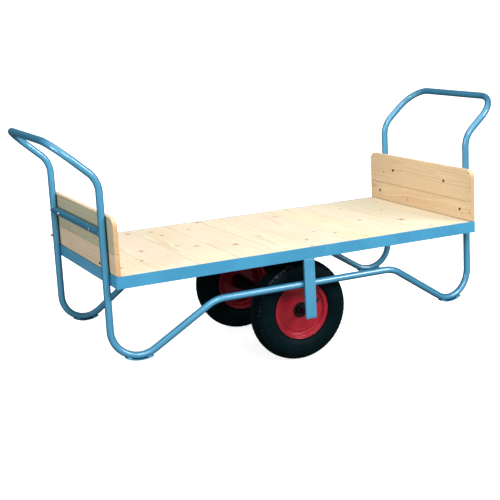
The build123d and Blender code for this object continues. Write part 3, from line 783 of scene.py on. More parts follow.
# ---------------------------------------------------------------------------
# Boards
# ---------------------------------------------------------------------------
def board_section(face_steps):
    """Rows round a board's section: position across and through the thickness (0 to 1),
    then the outward direction across and through."""
    arc = [k / 4 * math.pi / 2 for k in (1, 2, 3)]
    rows = [(k / face_steps, 1, 0, 1) for k in range(face_steps + 1)]
    rows += [(1, 1, math.sin(t), math.cos(t)) for t in arc]
    rows += [(1, 1 - k / 3, 1, 0) for k in range(4)]
    rows += [(1, 0, math.cos(t), -math.sin(t)) for t in arc]
    rows += [(1 - k / 6, 0, 0, -1) for k in range(7)]
    rows += [(0, 0, -math.sin(t), -math.cos(t)) for t in arc]
    rows += [(0, k / 3, -1, 0) for k in range(4)]
    rows += [(0, 1, -math.cos(t), math.sin(t)) for t in arc]
    return np.array(rows, float)


def board_stations(start, end, arris, corner, step=8.0):
    """(position along, inset) rows, close together at the rounded ends."""
    head = []
    for k in range(5):
        t = math.pi / 2 * (1 - k / 4)
        head.append((start + arris * (1 - math.sin(t)), arris * (1 - math.cos(t))))
    if corner:
        head += [(start + corner * (1 - math.cos(math.pi / 2 * k / 16)), 0.0)
                 for k in range(2, 17)]
    first = head[-1][0]
    last = start + end - first
    count = max(4, int((last - first) / step))
    middle = [(first + (last - first) * k / count, 0.0) for k in range(1, count)]
    tail = [(start + end - along, inset) for along, inset in reversed(head)]
    return sorted(set(head)) + middle + sorted(set(tail))


def plank(name, node, axes, front, arris, seed, mat, slot, knots, step, corner=0.0, cut=None):
    """A planed board with rounded, knocked arrises, a slight cup and uneven knots.

    axes are (across, thickness, length); front is the side of the thickness axis with the
    knots; step is the spacing across the face, corner the radius of the upper corners."""
    lo, hi = box_mm(node)
    (u0, w0, v0), (u1, w1, v1) = lo[list(axes)], hi[list(axes)]
    section = board_section(max(8, int((u1 - u0 - 2 * arris) / step)))
    stations = board_stations(v0, v1, arris, corner)
    rnd = random.Random(seed)
    offset = rnd.uniform(0, 500)
    cup = rnd.uniform(0.10, 0.32) * rnd.choice((-1, -1, 1))
    points = np.zeros((len(stations), len(section), 3))
    for i, (along, inset) in enumerate(stations):
        drop = 0.0
        from_end = min(along - v0, v1 - along)
        if corner and from_end < corner:
            drop = corner - math.sqrt(max(0.0, corner ** 2 - (corner - from_end) ** 2))
        width = u1 - inset - drop - (u0 + inset) - 2 * arris
        thick = w1 - inset - (w0 + inset) - 2 * arris
        across = u0 + inset + arris + section[:, 0] * width
        depth = w0 + inset + arris + section[:, 1] * thick
        push = np.zeros(len(section))
        for k, (part_u, part_w, out_u, out_w) in enumerate(section):
            dent = (0.10 * noise_at(across[k] + offset, along, depth[k], 0.018)
                    + 0.05 * noise_at(across[k], along + offset, depth[k], 0.07))
            on_arc = abs(out_u) > 0.1 and abs(out_w) > 0.1
            if on_arc or (abs(out_u) > 0.9 and part_w in (0.0, 1.0)):
                knock = noise_at(offset + 7 * out_u, along, 3 * out_w, 0.045) - 0.42
                nibble = abs(noise_at(offset + 9 * out_u, along, 5 * out_w, 0.11))
                dent -= 0.25 * nibble + (2.6 * knock if knock > 0 else 0.0)
            if abs(out_w) > 0.9:
                side = 1 if out_w > 0 else -1
                dent += cup * (0.33 - (2 * part_u - 1) ** 2) * side - abs(cup) * 0.34
            push[k] = min(dent, 0.0) if abs(out_u) > 0.1 or inset > 0 else dent - 0.22
        on_front = section[:, 3] * front > 0.9
        for knot_u, knot_v, radius in knots:
            # raised rim round a sunk middle
            reach = np.hypot(across - knot_u, (along - knot_v) * 0.8) / radius
            push += on_front * (0.16 * np.exp(-((reach - 1.25) / 0.35) ** 2)
                                - 0.22 * np.exp(-(reach / 0.7) ** 2))
        push = np.minimum(push, 0.0)
        points[i, :, axes[0]] = across + section[:, 2] * (arris + push)
        points[i, :, axes[1]] = depth + section[:, 3] * (arris + push)
        points[i, :, axes[2]] = along
    Shape().grid(points).make(name, mat, "chassis", slot, node, angle=42, cut=cut)


# Deck knots: (x, y, radius)
DECK_KNOTS = [
    (-379, 291, 6.5), (-366, 200, 4.2), (-333, -82, 8.0), (-61, -76, 5.0), (171, 244, 7.5),
    (154, -134, 5.5), (210, -211, 5.0), (557, -155, 6.5), (711, -254, 3.2), (-79, -341, 4.5),
    (-597, -188, 4.0), (-198, -153, 5.5), (350.5, 6, 5.5), (420, -52, 4.0), (-392, -34, 6.0),
    (-146, 352, 5.0), (22, -366, 4.0), (-470, 318, 5.0), (-650, 120, 4.5), (-540, -30, 5.0),
    (100, 60, 3.5), (-230, 240, 4.5), (280, -330, 4.5), (480, 210, 5.0), (610, 80, 4.0),
    (690, 250, 5.0), (60, -250, 4.5), (585, -330, 3.5), (-700, -250, 5.0), (-505, -320, 4.0)]
DECK_BOARDS = [f"deck_board_{i + 1:02d}" for i in range(10)]
# the deck's pine is paler and whiter than the endboards': painted light, standing in for the
# brighter light and sheen on the deck top
DECK_EARLY, DECK_LATE = srgb(247, 235, 208), srgb(216, 174, 122)
DECK_TINT = srgb(240, 214, 174)


def deck_board(i, node):
    lo, hi = box_mm(node)
    axes = (0, 2, 1)
    knots = [knot for knot in DECK_KNOTS if lo[0] + 4 < knot[0] < hi[0] - 4]
    rnd = random.Random(100 + i)
    early = tuple(c * (1 + rnd.uniform(-0.035, 0.02)) for c in DECK_EARLY)
    late = tuple(c * (1 + rnd.uniform(-0.12, 0.08)) for c in DECK_LATE)
    mat = pine(f"deck_pine_{i + 1:02d}", seed=40 + i, axes=axes,
               centre=((lo[0] + hi[0]) / 2000, hi[2] / 1000 - 0.02), knots=knots,
               early=early, late=late, tint=DECK_TINT, contrast=rnd.uniform(0.34, 0.52))
    plank(f"deck_plank_{i + 1:02d}", node, axes, front=1, arris=1.3, seed=300 + i, mat=mat,
          slot="deck_pine", knots=knots, step=3.4)


for index, board in enumerate(DECK_BOARDS):
    deck_board(index, board)

LOW_BOLT_Z = 505.5
HIGH_BOLT_Y = 192.0
LOW_HOLE_Y = 304
# Endboard: its knots as (z, y, radius), and the painted shade tint of its face that looks to -X
ENDBOARDS = {
    "right_endboard_upper": ([(592, 272, 2.2)], None),
    "right_endboard_lower": ([(488, -318, 2.2), (491, 83, 3.2), (497, -368, 2.0)], None),
    "left_endboard_upper": ([(560, 152, 2.6)], (0.63, 0.82, 0.90)),
    "left_endboard_lower": ([(493, 150, 2.4)], (0.97, 1.03, 1.16))}


def endboard(i, node, knots, outer_shade_tone):
    lo, hi = box_mm(node)
    axes = (2, 0, 1)
    upper = node.endswith("upper")
    sx = 1 if node.startswith("right") else -1
    hole_y, hole_z = (HIGH_BOLT_Y, BAR_Z) if upper else (LOW_HOLE_Y, LOW_BOLT_Z)
    cutter = Shape()
    for y in (-hole_y, hole_y):
        cutter.rod((lo[0] - 5, y, hole_z), (1, 0, 0), start=0, end=hi[0] - lo[0] + 10,
                   radius=3.3, segments=24)
    if not upper:
        # relief over the rail's top edge, on the outer face only
        cutter.add([(x, y, z) for x in sorted((sx * (HALF_L - 5.8), sx * (HALF_L + 2)))
                    for y in (lo[1] - 2, hi[1] + 2) for z in (lo[2] - 2, lo[2] + 2.9)],
                   [(0, 1, 3, 2), (4, 6, 7, 5), (0, 4, 5, 1), (2, 3, 7, 6), (0, 2, 6, 4),
                    (1, 5, 7, 3)])
    mat = pine(f"end_pine_{i + 1}", seed=80 + i, axes=axes,
               centre=((lo[2] + hi[2]) / 2000, (lo[0] + hi[0]) / 2000), knots=knots,
               early=srgb(240, 212, 174), late=srgb(208, 158, 106), tint=srgb(234, 196, 150),
               contrast=0.5, outer_shade_tone=outer_shade_tone)
    plank(node + "_plank", node, axes, front=-sx, arris=2.0 if upper else 1.3, seed=500 + i,
          mat=mat, slot="end_pine", knots=knots, step=3.6, corner=32.0 if upper else 0.0,
          cut=cutter)


for index, (board, (board_knots, shade_tone)) in enumerate(ENDBOARDS.items()):
    endboard(index, board, board_knots, shade_tone)

# ---------------------------------------------------------------------------
# Frame rails: rolled angle with a root fillet and rounded toes
# ---------------------------------------------------------------------------
RAIL_H = RAIL_TOP - RAIL_BOTTOM
# (distance in from the outer face, height over the rail's underside)
RAIL_PROFILE = densified(rounded(
    [(0, 0), (RAIL_LEG, 0), (RAIL_LEG, RAIL_THICK), (RAIL_THICK, RAIL_THICK),
     (RAIL_THICK, RAIL_H), (0, RAIL_H)], [0.9, 0.6, 2.6, 5.0, 2.2, 0.7], 5), 6.0)


def screw_holes(sy):
    """Two deck screw holes per board through a side rail, clear of the corners."""
    cutter = Shape()
    for board in DECK_BOARDS:
        lo, hi = box_mm(board)
        inset = 30.0 if hi[0] - lo[0] > 100 else 22.0
        for x in (lo[0] + inset, hi[0] - inset):
            if abs(x) < HALF_L - 50:
                cutter.rod((x, sy * (HALF_W - 30), RAIL_BOTTOM - 3), (0, 0, 1), start=0,
                           end=RAIL_THICK + 6, radius=3.2, segments=20)
    return cutter


def rail(node, sign, along):
    """An angle rail along axis 0 or 1, mitred at both ends."""
    across = 1 - along
    half = (HALF_L, HALF_W)
    inward = RAIL_PROFILE[:, 0]
    height = RAIL_PROFILE[:, 1] + RAIL_BOTTOM
    stations = np.linspace(-1, 1, 90 if along == 0 else 46)
    points = np.zeros((len(stations), len(inward), 3))
    for i, s in enumerate(stations):
        # the outer face is faintly wavy, but true at the mitres
        wave = np.array([0.12 * noise_at(s * HALF_L, z, d, 0.011) - 0.07
                         for d, z in zip(inward, height)])
        if abs(s) > 0.995:
            wave *= 0
        wave = np.where(inward < 1.0, np.minimum(wave, 0), 0)
        points[i, :, along] = s * (half[along] - inward)
        points[i, :, across] = sign * (half[across] - inward + wave)
        points[i, :, 2] = height
    Shape().grid(points).make(node + "_angle", BLUE_RAIL, "chassis", "blue_paint", node,
                              angle=30, cut=screw_holes(sign) if along == 0 else None)


for sign, side in SIDES:
    rail(side + "_side_rail", sign, along=0)
for sign, end in ENDS:
    rail(end + "_end_rail", sign, along=1)


def flat_bar(node, radius, long_axis):
    """Flat bar with rolled edges and faint mill waviness."""
    lo, hi = box_mm(node)
    a, b = [k for k in range(3) if k != long_axis]
    section = densified(rounded([(lo[a], lo[b]), (hi[a], lo[b]), (hi[a], hi[b]),
                                 (lo[a], hi[b])], radius), 5.0)
    centre = (section.max(0) + section.min(0)) / 2
    half = (section.max(0) - section.min(0)) / 2
    start, end = lo[long_axis], hi[long_axis]
    count = max(3, int((end - start) / 9.0))
    # (position, inset)
    stations = [(start, 0.6), (start + 0.25, 0.2), (start + 0.6, 0.0)]
    stations += [(start + (end - start) * k / count, 0.0) for k in range(1, count)]
    stations += [(end - 0.6, 0.0), (end - 0.25, 0.2), (end, 0.6)]
    points = np.zeros((len(stations), len(section), 3))
    for i, (along, inset) in enumerate(stations):
        wave = np.array([abs(0.06 * noise_at(x, y, along, 0.02)) for x, y in section])
        shrunk = (section - centre) * (1 - inset / half) * (1 - wave / max(half))[:, None]
        points[i, :, a] = shrunk[:, 0] + centre[0]
        points[i, :, b] = shrunk[:, 1] + centre[1]
        points[i, :, long_axis] = along
    Shape().grid(points).make(node + "_bar", BLUE, "chassis", "blue_paint", node, angle=30)


for _, side in SIDES:
    flat_bar(side + "_axle_bracket", radius=1.1, long_axis=2)
for _, end in ENDS:
    flat_bar(end + "_cross_tie", radius=1.4, long_axis=1)

# ---------------------------------------------------------------------------
# Bent tube loops and their crossbars
# ---------------------------------------------------------------------------
MEET_X = 0.5            # half the gap between the two loops' ends
STRUT_X = 382.0         # where the strut turns towards the foot
FOOT_Z = 64.0
KNEE_Z = 799.0
STRUT_BEND, FOOT_BEND, KNEE_BEND, HANDLE_BEND = 121.0, 103.0, 98.0, 110.0
TUBE_WALL = 2.6


def bent_line(corners, radii):
    """Centreline through rounded corners, and at each point a vector into the bend whose
    length says how far into the bend it is."""
    bend_step, straight_step = 3.0, 14.0
    corners = [np.array(c, float) for c in corners]
    points, bends = [corners[0]], [np.zeros(3)]

    def straight(start, end):
        count = max(1, int(np.linalg.norm(end - start) / straight_step))
        for k in range(1, count + 1):
            points.append(start + (end - start) * k / count)
            bends.append(np.zeros(3))

    current = corners[0]
    for i, radius in enumerate(radii, 1):
        corner = corners[i]
        back, ahead = unit(corners[i - 1] - corner), unit(corners[i + 1] - corner)
        angle = math.acos(float(back @ ahead))
        trim = radius / math.tan(angle / 2)
        start = corner + back * trim
        inward = unit(back + ahead)
        centre = corner + inward * (radius / math.sin(angle / 2))
        straight(current, start)
        first = (start - centre) / radius
        turn = math.pi - angle
        count = max(4, int(radius * turn / bend_step))
        for k in range(1, count + 1):
            t = turn * k / count
            points.append(centre + radius * (math.cos(t) * first - math.sin(t) * back))
            amount = min(1.0, 6.0 * min(t, turn - t) / turn)
            bends.append(inward * amount * min(1.0, 110.0 / radius))
        current = corner + ahead * trim
    straight(current, corners[-1])
    return np.array(points), np.array(bends)


def swept_tube(line, bends):
    """Hollow round tube, a little flattened in the plane of its bends."""
    flatten, lip = 0.022, 0.5
    tangent = np.gradient(line, axis=0)
    tangent /= np.linalg.norm(tangent, axis=1)[:, None]
    first = np.zeros_like(tangent)
    first[0] = unit(np.cross(tangent[0], (0.0, 0.0, 1.0)))
    for i in range(1, len(tangent)):
        first[i] = unit(first[i - 1] - tangent[i] * (first[i - 1] @ tangent[i]))
    second = np.cross(tangent, first)
    angles = full_turn(40)
    out = (np.cos(angles)[None, :, None] * first[:, None, :]
           + np.sin(angles)[None, :, None] * second[:, None, :])
    amount = np.linalg.norm(bends, axis=1)
    inward = bends / (amount[:, None] + 1e-9)
    lean = (out * inward[:, None, :]).sum(-1)
    out = out - flatten * amount[:, None, None] * lean[:, :, None] * inward[:, None, :]
    outer = line[:, None, :] + TUBE_R * out
    outer[0] += tangent[0] * 0.4
    outer[-1] -= tangent[-1] * 0.4
    # the bore runs back with every fourth section
    picked = np.unique(np.concatenate([np.arange(0, len(line), 4), [len(line) - 1]]))
    bore = (line[:, None, :] + (TUBE_R - TUBE_WALL) * out)[picked][::-1]
    lips = line[:, None, :] + (TUBE_R - lip) * out
    return np.concatenate([lips[:1], outer, lips[-1:], bore], 0)


def end_loop(sx, end):
    near = [(sx * MEET_X, -STRUT_Y, STRUT_Z), (sx * STRUT_X, -STRUT_Y, STRUT_Z),
            (sx * POST_X, -POST_Y, FOOT_Z), (sx * POST_X, -POST_Y, KNEE_Z),
            (sx * HANDLE_X, -POST_Y, HANDLE_Z)]
    radii = [STRUT_BEND, FOOT_BEND, KNEE_BEND, HANDLE_BEND]
    line, bends = bent_line(near + [(x, -y, z) for x, y, z in reversed(near)],
                            radii + radii[::-1])
    Shape().grid(swept_tube(line, bends), closed=True).make(
        end + "_bent_tube", BLUE, "chassis", "blue_paint", end + "_end_loop")


def crossbar(sx, end):
    """Tube coped round the posts at both ends."""
    angles = full_turn(48)
    cope = POST_Y - TUBE_R * np.abs(np.sin(angles))
    plain_y = POST_Y - TUBE_R - 1.5
    coped = [cope + (plain_y - cope) * k / 4 for k in range(4)]
    rows = [-y for y in coped]
    rows += [-plain_y + 2 * plain_y * k / 40 for k in range(41)]
    rows += coped[::-1]
    Shape().grid([hoop(angles, TUBE_R, sx * POST_X, y, BAR_Z) for y in rows]).make(
        end + "_crossbar_tube", BLUE, "chassis", "blue_paint", end + "_crossbar")


for sx, end in ENDS:
    end_loop(sx, end)
    crossbar(sx, end)


# ---------------------------------------------------------------------------
# Foot shoes: straps under the foot bends
# ---------------------------------------------------------------------------
class FootBend:
    """The arc of a loop's foot: its centre and the level directions in and across its plane."""
    def __init__(self, sx, sy):
        knee = np.array([sx * POST_X, sy * POST_Y, KNEE_Z])
        foot = np.array([sx * POST_X, sy * POST_Y, FOOT_Z])
        strut = np.array([sx * STRUT_X, sy * STRUT_Y, STRUT_Z])
        rise, run = unit(knee - foot), unit(strut - foot)
        angle = math.acos(float(rise @ run))
        self.centre = foot + unit(rise + run) * (FOOT_BEND / math.sin(angle / 2))
        self.inward = unit(np.array([strut[0] - foot[0], strut[1] - foot[1], 0.0]))
        self.lateral = np.cross(self.inward, (0, 0, 1.0))

    def out(self, angle):
        return math.cos(angle) * self.inward + math.sin(angle) * np.array([0, 0, 1.0])


def foot_strap(sx, end, sy, side):
    bend = FootBend(sx, sy)
    half_thick, half_width = 2.0, 13.0
    inner = FOOT_BEND + TUBE_R
    outer = inner + 2 * half_thick
    middle = (inner + outer) / 2
    section = np.array(rounded([(inner, -half_width), (outer, -half_width),
                                (outer, half_width), (inner, half_width)],
                               [0.6, 1.5, 1.5, 0.6]))
    angles = [-118, -117.9, -117.6, *np.linspace(-116.8, -67.2, 40), -66.4, -66.1, -66.0]
    insets = [0.7, 0.25] + [0.0] * 42 + [0.25, 0.7]
    rows = []
    for degrees, inset in zip(angles, insets):
        radius = (section[:, 0] - middle) * (1 - inset / half_thick) + middle
        offset = section[:, 1] * (1 - inset / half_width)
        # the ground side is worn a little flat
        wear = 0.35 * math.exp(-((degrees + 90) / 9.0) ** 2)
        radius = np.where(section[:, 0] > outer - 0.5, radius - wear, radius)
        rows.append(bend.centre + radius[:, None] * bend.out(math.radians(degrees))
                    + offset[:, None] * bend.lateral)
    Shape().grid(rows).make(f"{end}_{side}_foot_strap", BLUE, "chassis", "blue_paint",
                            f"{end}_{side}_foot_shoe", angle=32)


for sx, end in ENDS:
    for sy, side in SIDES:
        foot_strap(sx, end, sy, side)


# ---------------------------------------------------------------------------
# Weld beads on the chassis
# ---------------------------------------------------------------------------
def corner_welds(shape, sx, end, sy):
    # crossbar coped to the post
    t = full_turn(72)
    y = sy * (POST_Y - (TUBE_R + 0.2) * np.abs(np.sin(t)) - 0.4)
    shape.weld(hoop(t, TUBE_R + 0.4, sx * POST_X, y, BAR_Z), radius=2.3, closed=True,
               seed=11 + sx + 2 * sy)
    # post to the end rail
    for k in (-1, 1):
        x, y = sx * (HALF_L + 0.9), sy * POST_Y + k * 6.8
        shape.weld([(x, y, RAIL_BOTTOM + 3), (x, y, RAIL_TOP - 3)], radius=2.3, seed=k + 30)
    # mitre under the corner
    z = RAIL_BOTTOM + 0.4
    shape.weld([(sx * (HALF_L - 4), sy * (HALF_W - 4), z),
                (sx * (HALF_L - RAIL_LEG + 2), sy * (HALF_W - RAIL_LEG + 2), z)],
               radius=1.9, seed=sx * 3 + sy, flat=0.7)
    # cross tie to the side rail
    x0, x1 = [corner[0] for corner in box_mm(end + "_cross_tie")]
    y, z = sy * (HALF_W - RAIL_LEG), RAIL_BOTTOM + 0.5
    shape.weld([(x0 + 2, y, z), (x1 - 2, y, z)], radius=2.0, seed=7 * sx + sy)
    # foot strap, four short runs
    bend = FootBend(sx, sy)
    for k in (-1, 1):
        for start, stop in ((-116, -106), (-78, -68)):
            path = [bend.centre + (FOOT_BEND + TUBE_R - 1.2) * bend.out(t)
                    + k * 8.3 * bend.lateral for t in np.radians(np.linspace(start, stop, 9))]
            shape.weld(path, radius=2.7, seed=start + k)


def bracket_welds(shape, sy):
    # loop tube to the bracket's inner face
    x, y = BRACKET_HALF - 1.5, sy * (BRACKET_Y - 1.3)
    for k in (-1, 1):
        z = STRUT_Z + k * 7.6
        shape.weld([(-x, y, z), (x, y, z)], radius=2.7, seed=50 + k)
    # bracket to the rail
    x, y, z = BRACKET_HALF - 1, sy * (BRACKET_Y - 0.6), RAIL_BOTTOM - 0.6
    shape.weld([(-x, y, z), (x, y, z)], radius=3.0, seed=60 + sy)
    # axle to the bracket
    shape.weld(hoop(full_turn(60), AXLE_R + 1.0, 0, sy * (BRACKET_Y - 1.0), AXLE_Z),
               radius=2.7, closed=True, seed=70 + sy, up=Y_AXIS)


chassis_welds = Shape()
for sx, end in ENDS:
    for sy, _ in SIDES:
        corner_welds(chassis_welds, sx, end, sy)
for sy, _ in SIDES:
    bracket_welds(chassis_welds, sy)
chassis_welds.make("chassis_weld_beads", BLUE, "chassis", "blue_paint", angle=60)


# ---------------------------------------------------------------------------
# Endboard bolts and nuts
# ---------------------------------------------------------------------------
def threaded(origin, axis, start, end, radius, pitch, depth):
    """A rod end with a helical thread and a broken tip."""
    angles = full_turn(32)
    count = int((end - start) / pitch * 10)
    profile = []
    for i in range(count + 1):
        t = start + (end - start) * i / count
        wave = np.abs((t / pitch - angles / TAU) % 1.0 - 0.5) * 2
        groove = radius - depth * np.clip(wave * 1.25 - 0.1, 0, 1)
        tip = max(0.0, t - (end - 1.0))
        run_in = max(0.0, (start + 0.6) - t)
        profile.append((t, np.minimum(groove, radius - tip * 0.9) - run_in * 0.2))
    return ring_rows(origin, axis, angles, profile)


def hex_nut(origin, axis, height, flats, hole, spin):
    """Hexagon nut whose corners are turned off at 30 degrees on both faces."""
    angles = full_turn(60)
    outer = hex_radius(angles, flats)
    face = flats / 2 * 0.94
    cut = np.clip((outer - face) * math.tan(math.radians(30)), 0, None)
    chamfer = 0.7
    profile = [(0.0, face), (cut, outer), (height - cut, outer), (height, face),
               (height, hole + chamfer), (height - chamfer, hole), (chamfer, hole),
               (0.0, hole + chamfer)]
    return np.stack(ring_rows(origin, axis, angles + spin, profile), 1)


def button_bolt(origin, axis, head_r, head_h, shank_r, length, key, key_depth):
    """Domed socket head on a plain shank; origin is on the seat, axis points down the shank."""
    angles = full_turn(48)
    socket = hex_radius(angles, key)
    crown = key / 2 * 1.22
    profile = [(length, shank_r - 0.5), (length - 0.5, shank_r), (-0.05, shank_r),
               (-0.05, head_r - 0.35), (-0.15, head_r - 0.1), (-0.55, head_r)]
    for k in range(1, 10):
        t = k / 9 * math.pi / 2
        profile.append((-0.55 - (head_h - 0.55) * math.sin(t),
                        crown + (head_r - crown) * math.cos(t)))
    profile += [(-head_h, socket + 0.2), (-head_h + 0.25, socket),
                (-head_h + key_depth, socket), (-head_h + key_depth + 0.3, socket * 0.8)]
    return ring_rows(origin, axis, angles, profile)


BOLT_SITES = ((-POST_Y, LOW_BOLT_Z), (POST_Y, LOW_BOLT_Z),
              (-HIGH_BOLT_Y, BAR_Z), (HIGH_BOLT_Y, BAR_Z))
SEAT_X = box_mm("right_endboard_lower")[0][0]

bolts, nuts = Shape(), Shape()
for sx, _ in ENDS:
    for y, z in BOLT_SITES:
        seat = np.array([sx * SEAT_X, y, z])
        bolts.grid(button_bolt(seat, (sx, 0, 0), head_r=5.4, head_h=3.3, shank_r=3.0,
                               length=33.0, key=4.0, key_depth=2.0))
        bolts.grid(threaded(seat, (sx, 0, 0), start=32.5, end=53.0, radius=2.98, pitch=1.0,
                            depth=0.5))
        nuts.grid(hex_nut(np.array([sx * (POST_X + TUBE_R), y, z]), (sx, 0, 0), height=5.0,
                          flats=10.0, hole=3.02, spin=0.4 * y / 100 + sx), closed=True)
bolts.make("endboard_socket_bolts", OXIDE, "chassis", "zinc_steel", "endboard_bolts", angle=36)
nuts.make("endboard_hex_nuts", ZINC, "chassis", "zinc_steel", "endboard_nuts", angle=24)


# ---------------------------------------------------------------------------
# Tyres
# ---------------------------------------------------------------------------
# Outside of the tyre from bead to crown: (offset from the centre plane, radius)
TYRE_OUTER = [
    (20.5, 101.3), (28.3, 102.0), (31.1, 104.9), (31.1, 110.5), (32.2, 114.6), (36.6, 117.4),
    (42.6, 127.2), (46.3, 141.0), (46.9, 157.0), (44.1, 171.6), (38.2, 182.4), (33.6, 187.4),
    (27.6, 191.9), (15.0, 197.8), (0.0, 199.9)]
# Inside of the tyre from bead to crown, same columns
TYRE_INNER = [(20.5, 106), (26.5, 116), (33.5, 128), (37.8, 142), (38.5, 156), (35.5, 168.5),
              (30, 178), (22, 185), (12, 189.5), (0, 191)]
LUGS = 60
# Zigzag grooves, one each side of the crown:
# (distance from crown, zigzag reach, half width, depth, phase)
GROOVES = ((9.0, 1.8, 2.0, 4.0, 0.0), (23.5, 1.8, 2.1, 4.2, 0.5))
# Raised sidewall rings: (radius, height, width)
WALL_RINGS = ((160.0, 0.55, 1.3), (155.5, 0.35, 0.9), (136.0, 0.45, 1.1), (131.0, 0.35, 0.9),
              (121.5, 0.9, 2.2))


def triangle_wave(x):
    return 2 * np.abs(2 * (x - np.floor(x + 0.5))) - 1


def smoothstep(x, lo, hi):
    t = np.clip((x - lo) / (hi - lo), 0, 1)
    return t * t * (3 - 2 * t)


def lug_wave(lug):
    """0 at mid pitch, rising to 1 at either side of it."""
    return np.abs((lug % 1.0) - 0.5) * 2


def tyre_profile():
    """Outer profile, finer over the crown, with its normals and the arc length from the
    crown."""
    wall = catmull(TYRE_OUTER[:12], 2.4)
    crown = catmull(TYRE_OUTER[10:], 1.45)
    join = np.argmin(np.hypot(*(crown - wall[-1]).T))
    half = np.vstack([wall, crown[join + 1:]])
    profile = np.vstack([half, (half[:-1] * [-1, 1])[::-1]])
    arc = np.linalg.norm(np.diff(profile, axis=0), axis=1)
    arc = np.concatenate([[0], np.cumsum(arc)])
    arc = arc[len(half) - 1] - arc
    tangent = np.gradient(profile, axis=0)
    tangent /= np.linalg.norm(tangent, axis=1)[:, None]
    normal = np.stack([tangent[:, 1], -tangent[:, 0]], 1)
    normal *= np.sign((normal * (profile - [0, 150])).sum(1))[:, None]
    return profile, normal, arc


def tyre(side, sy):
    profile, normal, arc = tyre_profile()
    angles = full_turn(LUGS * 8)
    turn, arc = np.meshgrid(angles, arc, indexing="ij")
    radius = np.broadcast_to(profile[:, 1], turn.shape)
    reach = np.abs(arc)
    lug = turn / TAU * LUGS

    depth = np.zeros_like(turn)
    for centre, zigzag, half_width, groove, phase in GROOVES:
        for sign in (-1, 1):
            off = np.abs(arc - sign * (centre + zigzag * triangle_wave(lug / 2 + phase)))
            depth = np.maximum(
                depth, groove * (1 - smoothstep(off, half_width - 0.8, half_width + 0.9)))
    # slots between the shoulder blocks, running out on the sidewall
    window = smoothstep(reach, 25.0, 28.5) * (1 - smoothstep(reach, 46.0, 51.0))
    slot = 1 - smoothstep(lug_wave(lug + 0.25 * np.sign(arc)), 0.26, 0.46)
    depth = np.maximum(depth, 4.0 * window * slot)
    # short sipes between the zigzag grooves
    window = smoothstep(reach, 11.8, 13.2) * (1 - smoothstep(reach, 18.8, 20.6))
    sipe = 1 - smoothstep(lug_wave(lug + 0.5), 0.12, 0.30)
    depth = np.maximum(depth, 2.6 * window * sipe)

    # raised rings, short buttress ribs and a fine line on the crown
    raised = np.zeros_like(turn)
    sidewall = reach > 52
    for ring, height, width in WALL_RINGS:
        raised += sidewall * height * np.exp(-((radius - ring) / width) ** 2)
    rib = ((1 - smoothstep(lug_wave(lug), 0.35, 0.6)) * smoothstep(radius, 163, 166)
           * (1 - smoothstep(radius, 171, 174)))
    raised += sidewall * 0.7 * rib
    raised += 0.25 * np.exp(-(arc / 0.9) ** 2)
    push = np.minimum(raised - depth, 0.3)

    half_inner = np.array(TYRE_INNER, float)
    inner = np.vstack([half_inner * [-1, 1], half_inner[-2::-1]])
    shape = (len(angles), len(inner))
    offset = np.concatenate([profile[None, :, 0] + normal[None, :, 0] * push,
                             np.broadcast_to(inner[:, 0], shape)], 1)
    outer_r = np.minimum(profile[None, :, 1] + normal[None, :, 1] * push, 200.0)
    radius = np.concatenate([outer_r, np.broadcast_to(inner[:, 1], shape)], 1)
    centre = WHEEL_CENTRE[side + "_wheel"]
    points = np.stack([centre[0] + radius * np.cos(angles)[:, None],
                       centre[1] + sy * offset,
                       centre[2] + radius * np.sin(angles)[:, None]], -1)
    Shape().grid(points, closed=True).make(
        side + "_tyre_treaded", TYRE, side + "_wheel", "tyre_rubber", side + "_tyre", angle=34)


# ---------------------------------------------------------------------------
# Wheels; offsets are from the wheel's centre plane, positive outboard
# ---------------------------------------------------------------------------
# Rim and disc section: (offset, radius)
RIM_SECTION = [
    (35.4, 109.9), (36.8, 112.2), (35.2, 114.2), (32.4, 113.4), (31.35, 110.8),
    (31.35, 104.6), (28.5, 101.75), (18.5, 100.7), (14.5, 98.0), (12.0, 91.5),
    (-12.0, 91.5), (-14.5, 98.0), (-18.5, 100.7), (-28.5, 101.75), (-31.35, 104.6),
    (-31.35, 110.8), (-32.4, 113.4), (-35.2, 114.2), (-36.8, 112.2), (-35.4, 109.9),
    (-34.6, 111.4), (-33.6, 110.2), (-33.6, 103.6), (-29.8, 99.4), (-19.2, 98.3),
    (-16.9, 96.6), (-14.2, 89.0), (14.2, 89.0), (15.6, 92.9), (17.0, 90.5), (16.6, 86.5),
    (18.6, 83.0), (17.4, 78.5), (17.0, 72.0), (17.0, HUB_R + 0.05), (20.0, HUB_R + 0.05),
    (20.0, 72.0), (20.4, 78.0), (21.8, 83.0), (19.8, 87.0), (20.4, 91.5), (21.5, 95.5),
    (23.0, 98.7), (29.8, 99.4), (33.6, 103.6), (33.6, 110.2), (34.6, 111.4)]
HUB_BORE_R = HUB_R - 3.95
HUB_SECTION = [(-46, HUB_BORE_R), (-46, HUB_R), (21.5, HUB_R), (21.5, HUB_BORE_R)]
VALVE_TURN = math.radians(20.0)     # round the wheel from +X
VALVE_TILT = math.radians(40.4)     # outboard from pointing at the axle
# Valve boot: (distance along the valve, radius)
BOOT_PROFILE = [
    (1.0, 0), (1.0, 3.2), (2.0, 3.7), (12.5, 4.1), (17.2, 4.2), (18.2, 5.0), (20.2, 5.0),
    (21.2, 4.4), (22.2, 3.6), (22.8, 3.4), (31.0, 3.4), (31.0, 0)]
# Dust cap: (distance along the valve, radius, 1 where fluted)
CAP_PROFILE = [
    (31.2, 2.0, 0), (31.0, 3.7, 0), (23.0, 3.7, 0), (23.0, 4.7, 0), (23.8, 5.0, 0),
    (24.5, 5.0, 1), (31.5, 4.95, 1), (32.4, 4.75, 0), (33.2, 4.0, 0), (33.4, 3.0, 0)]


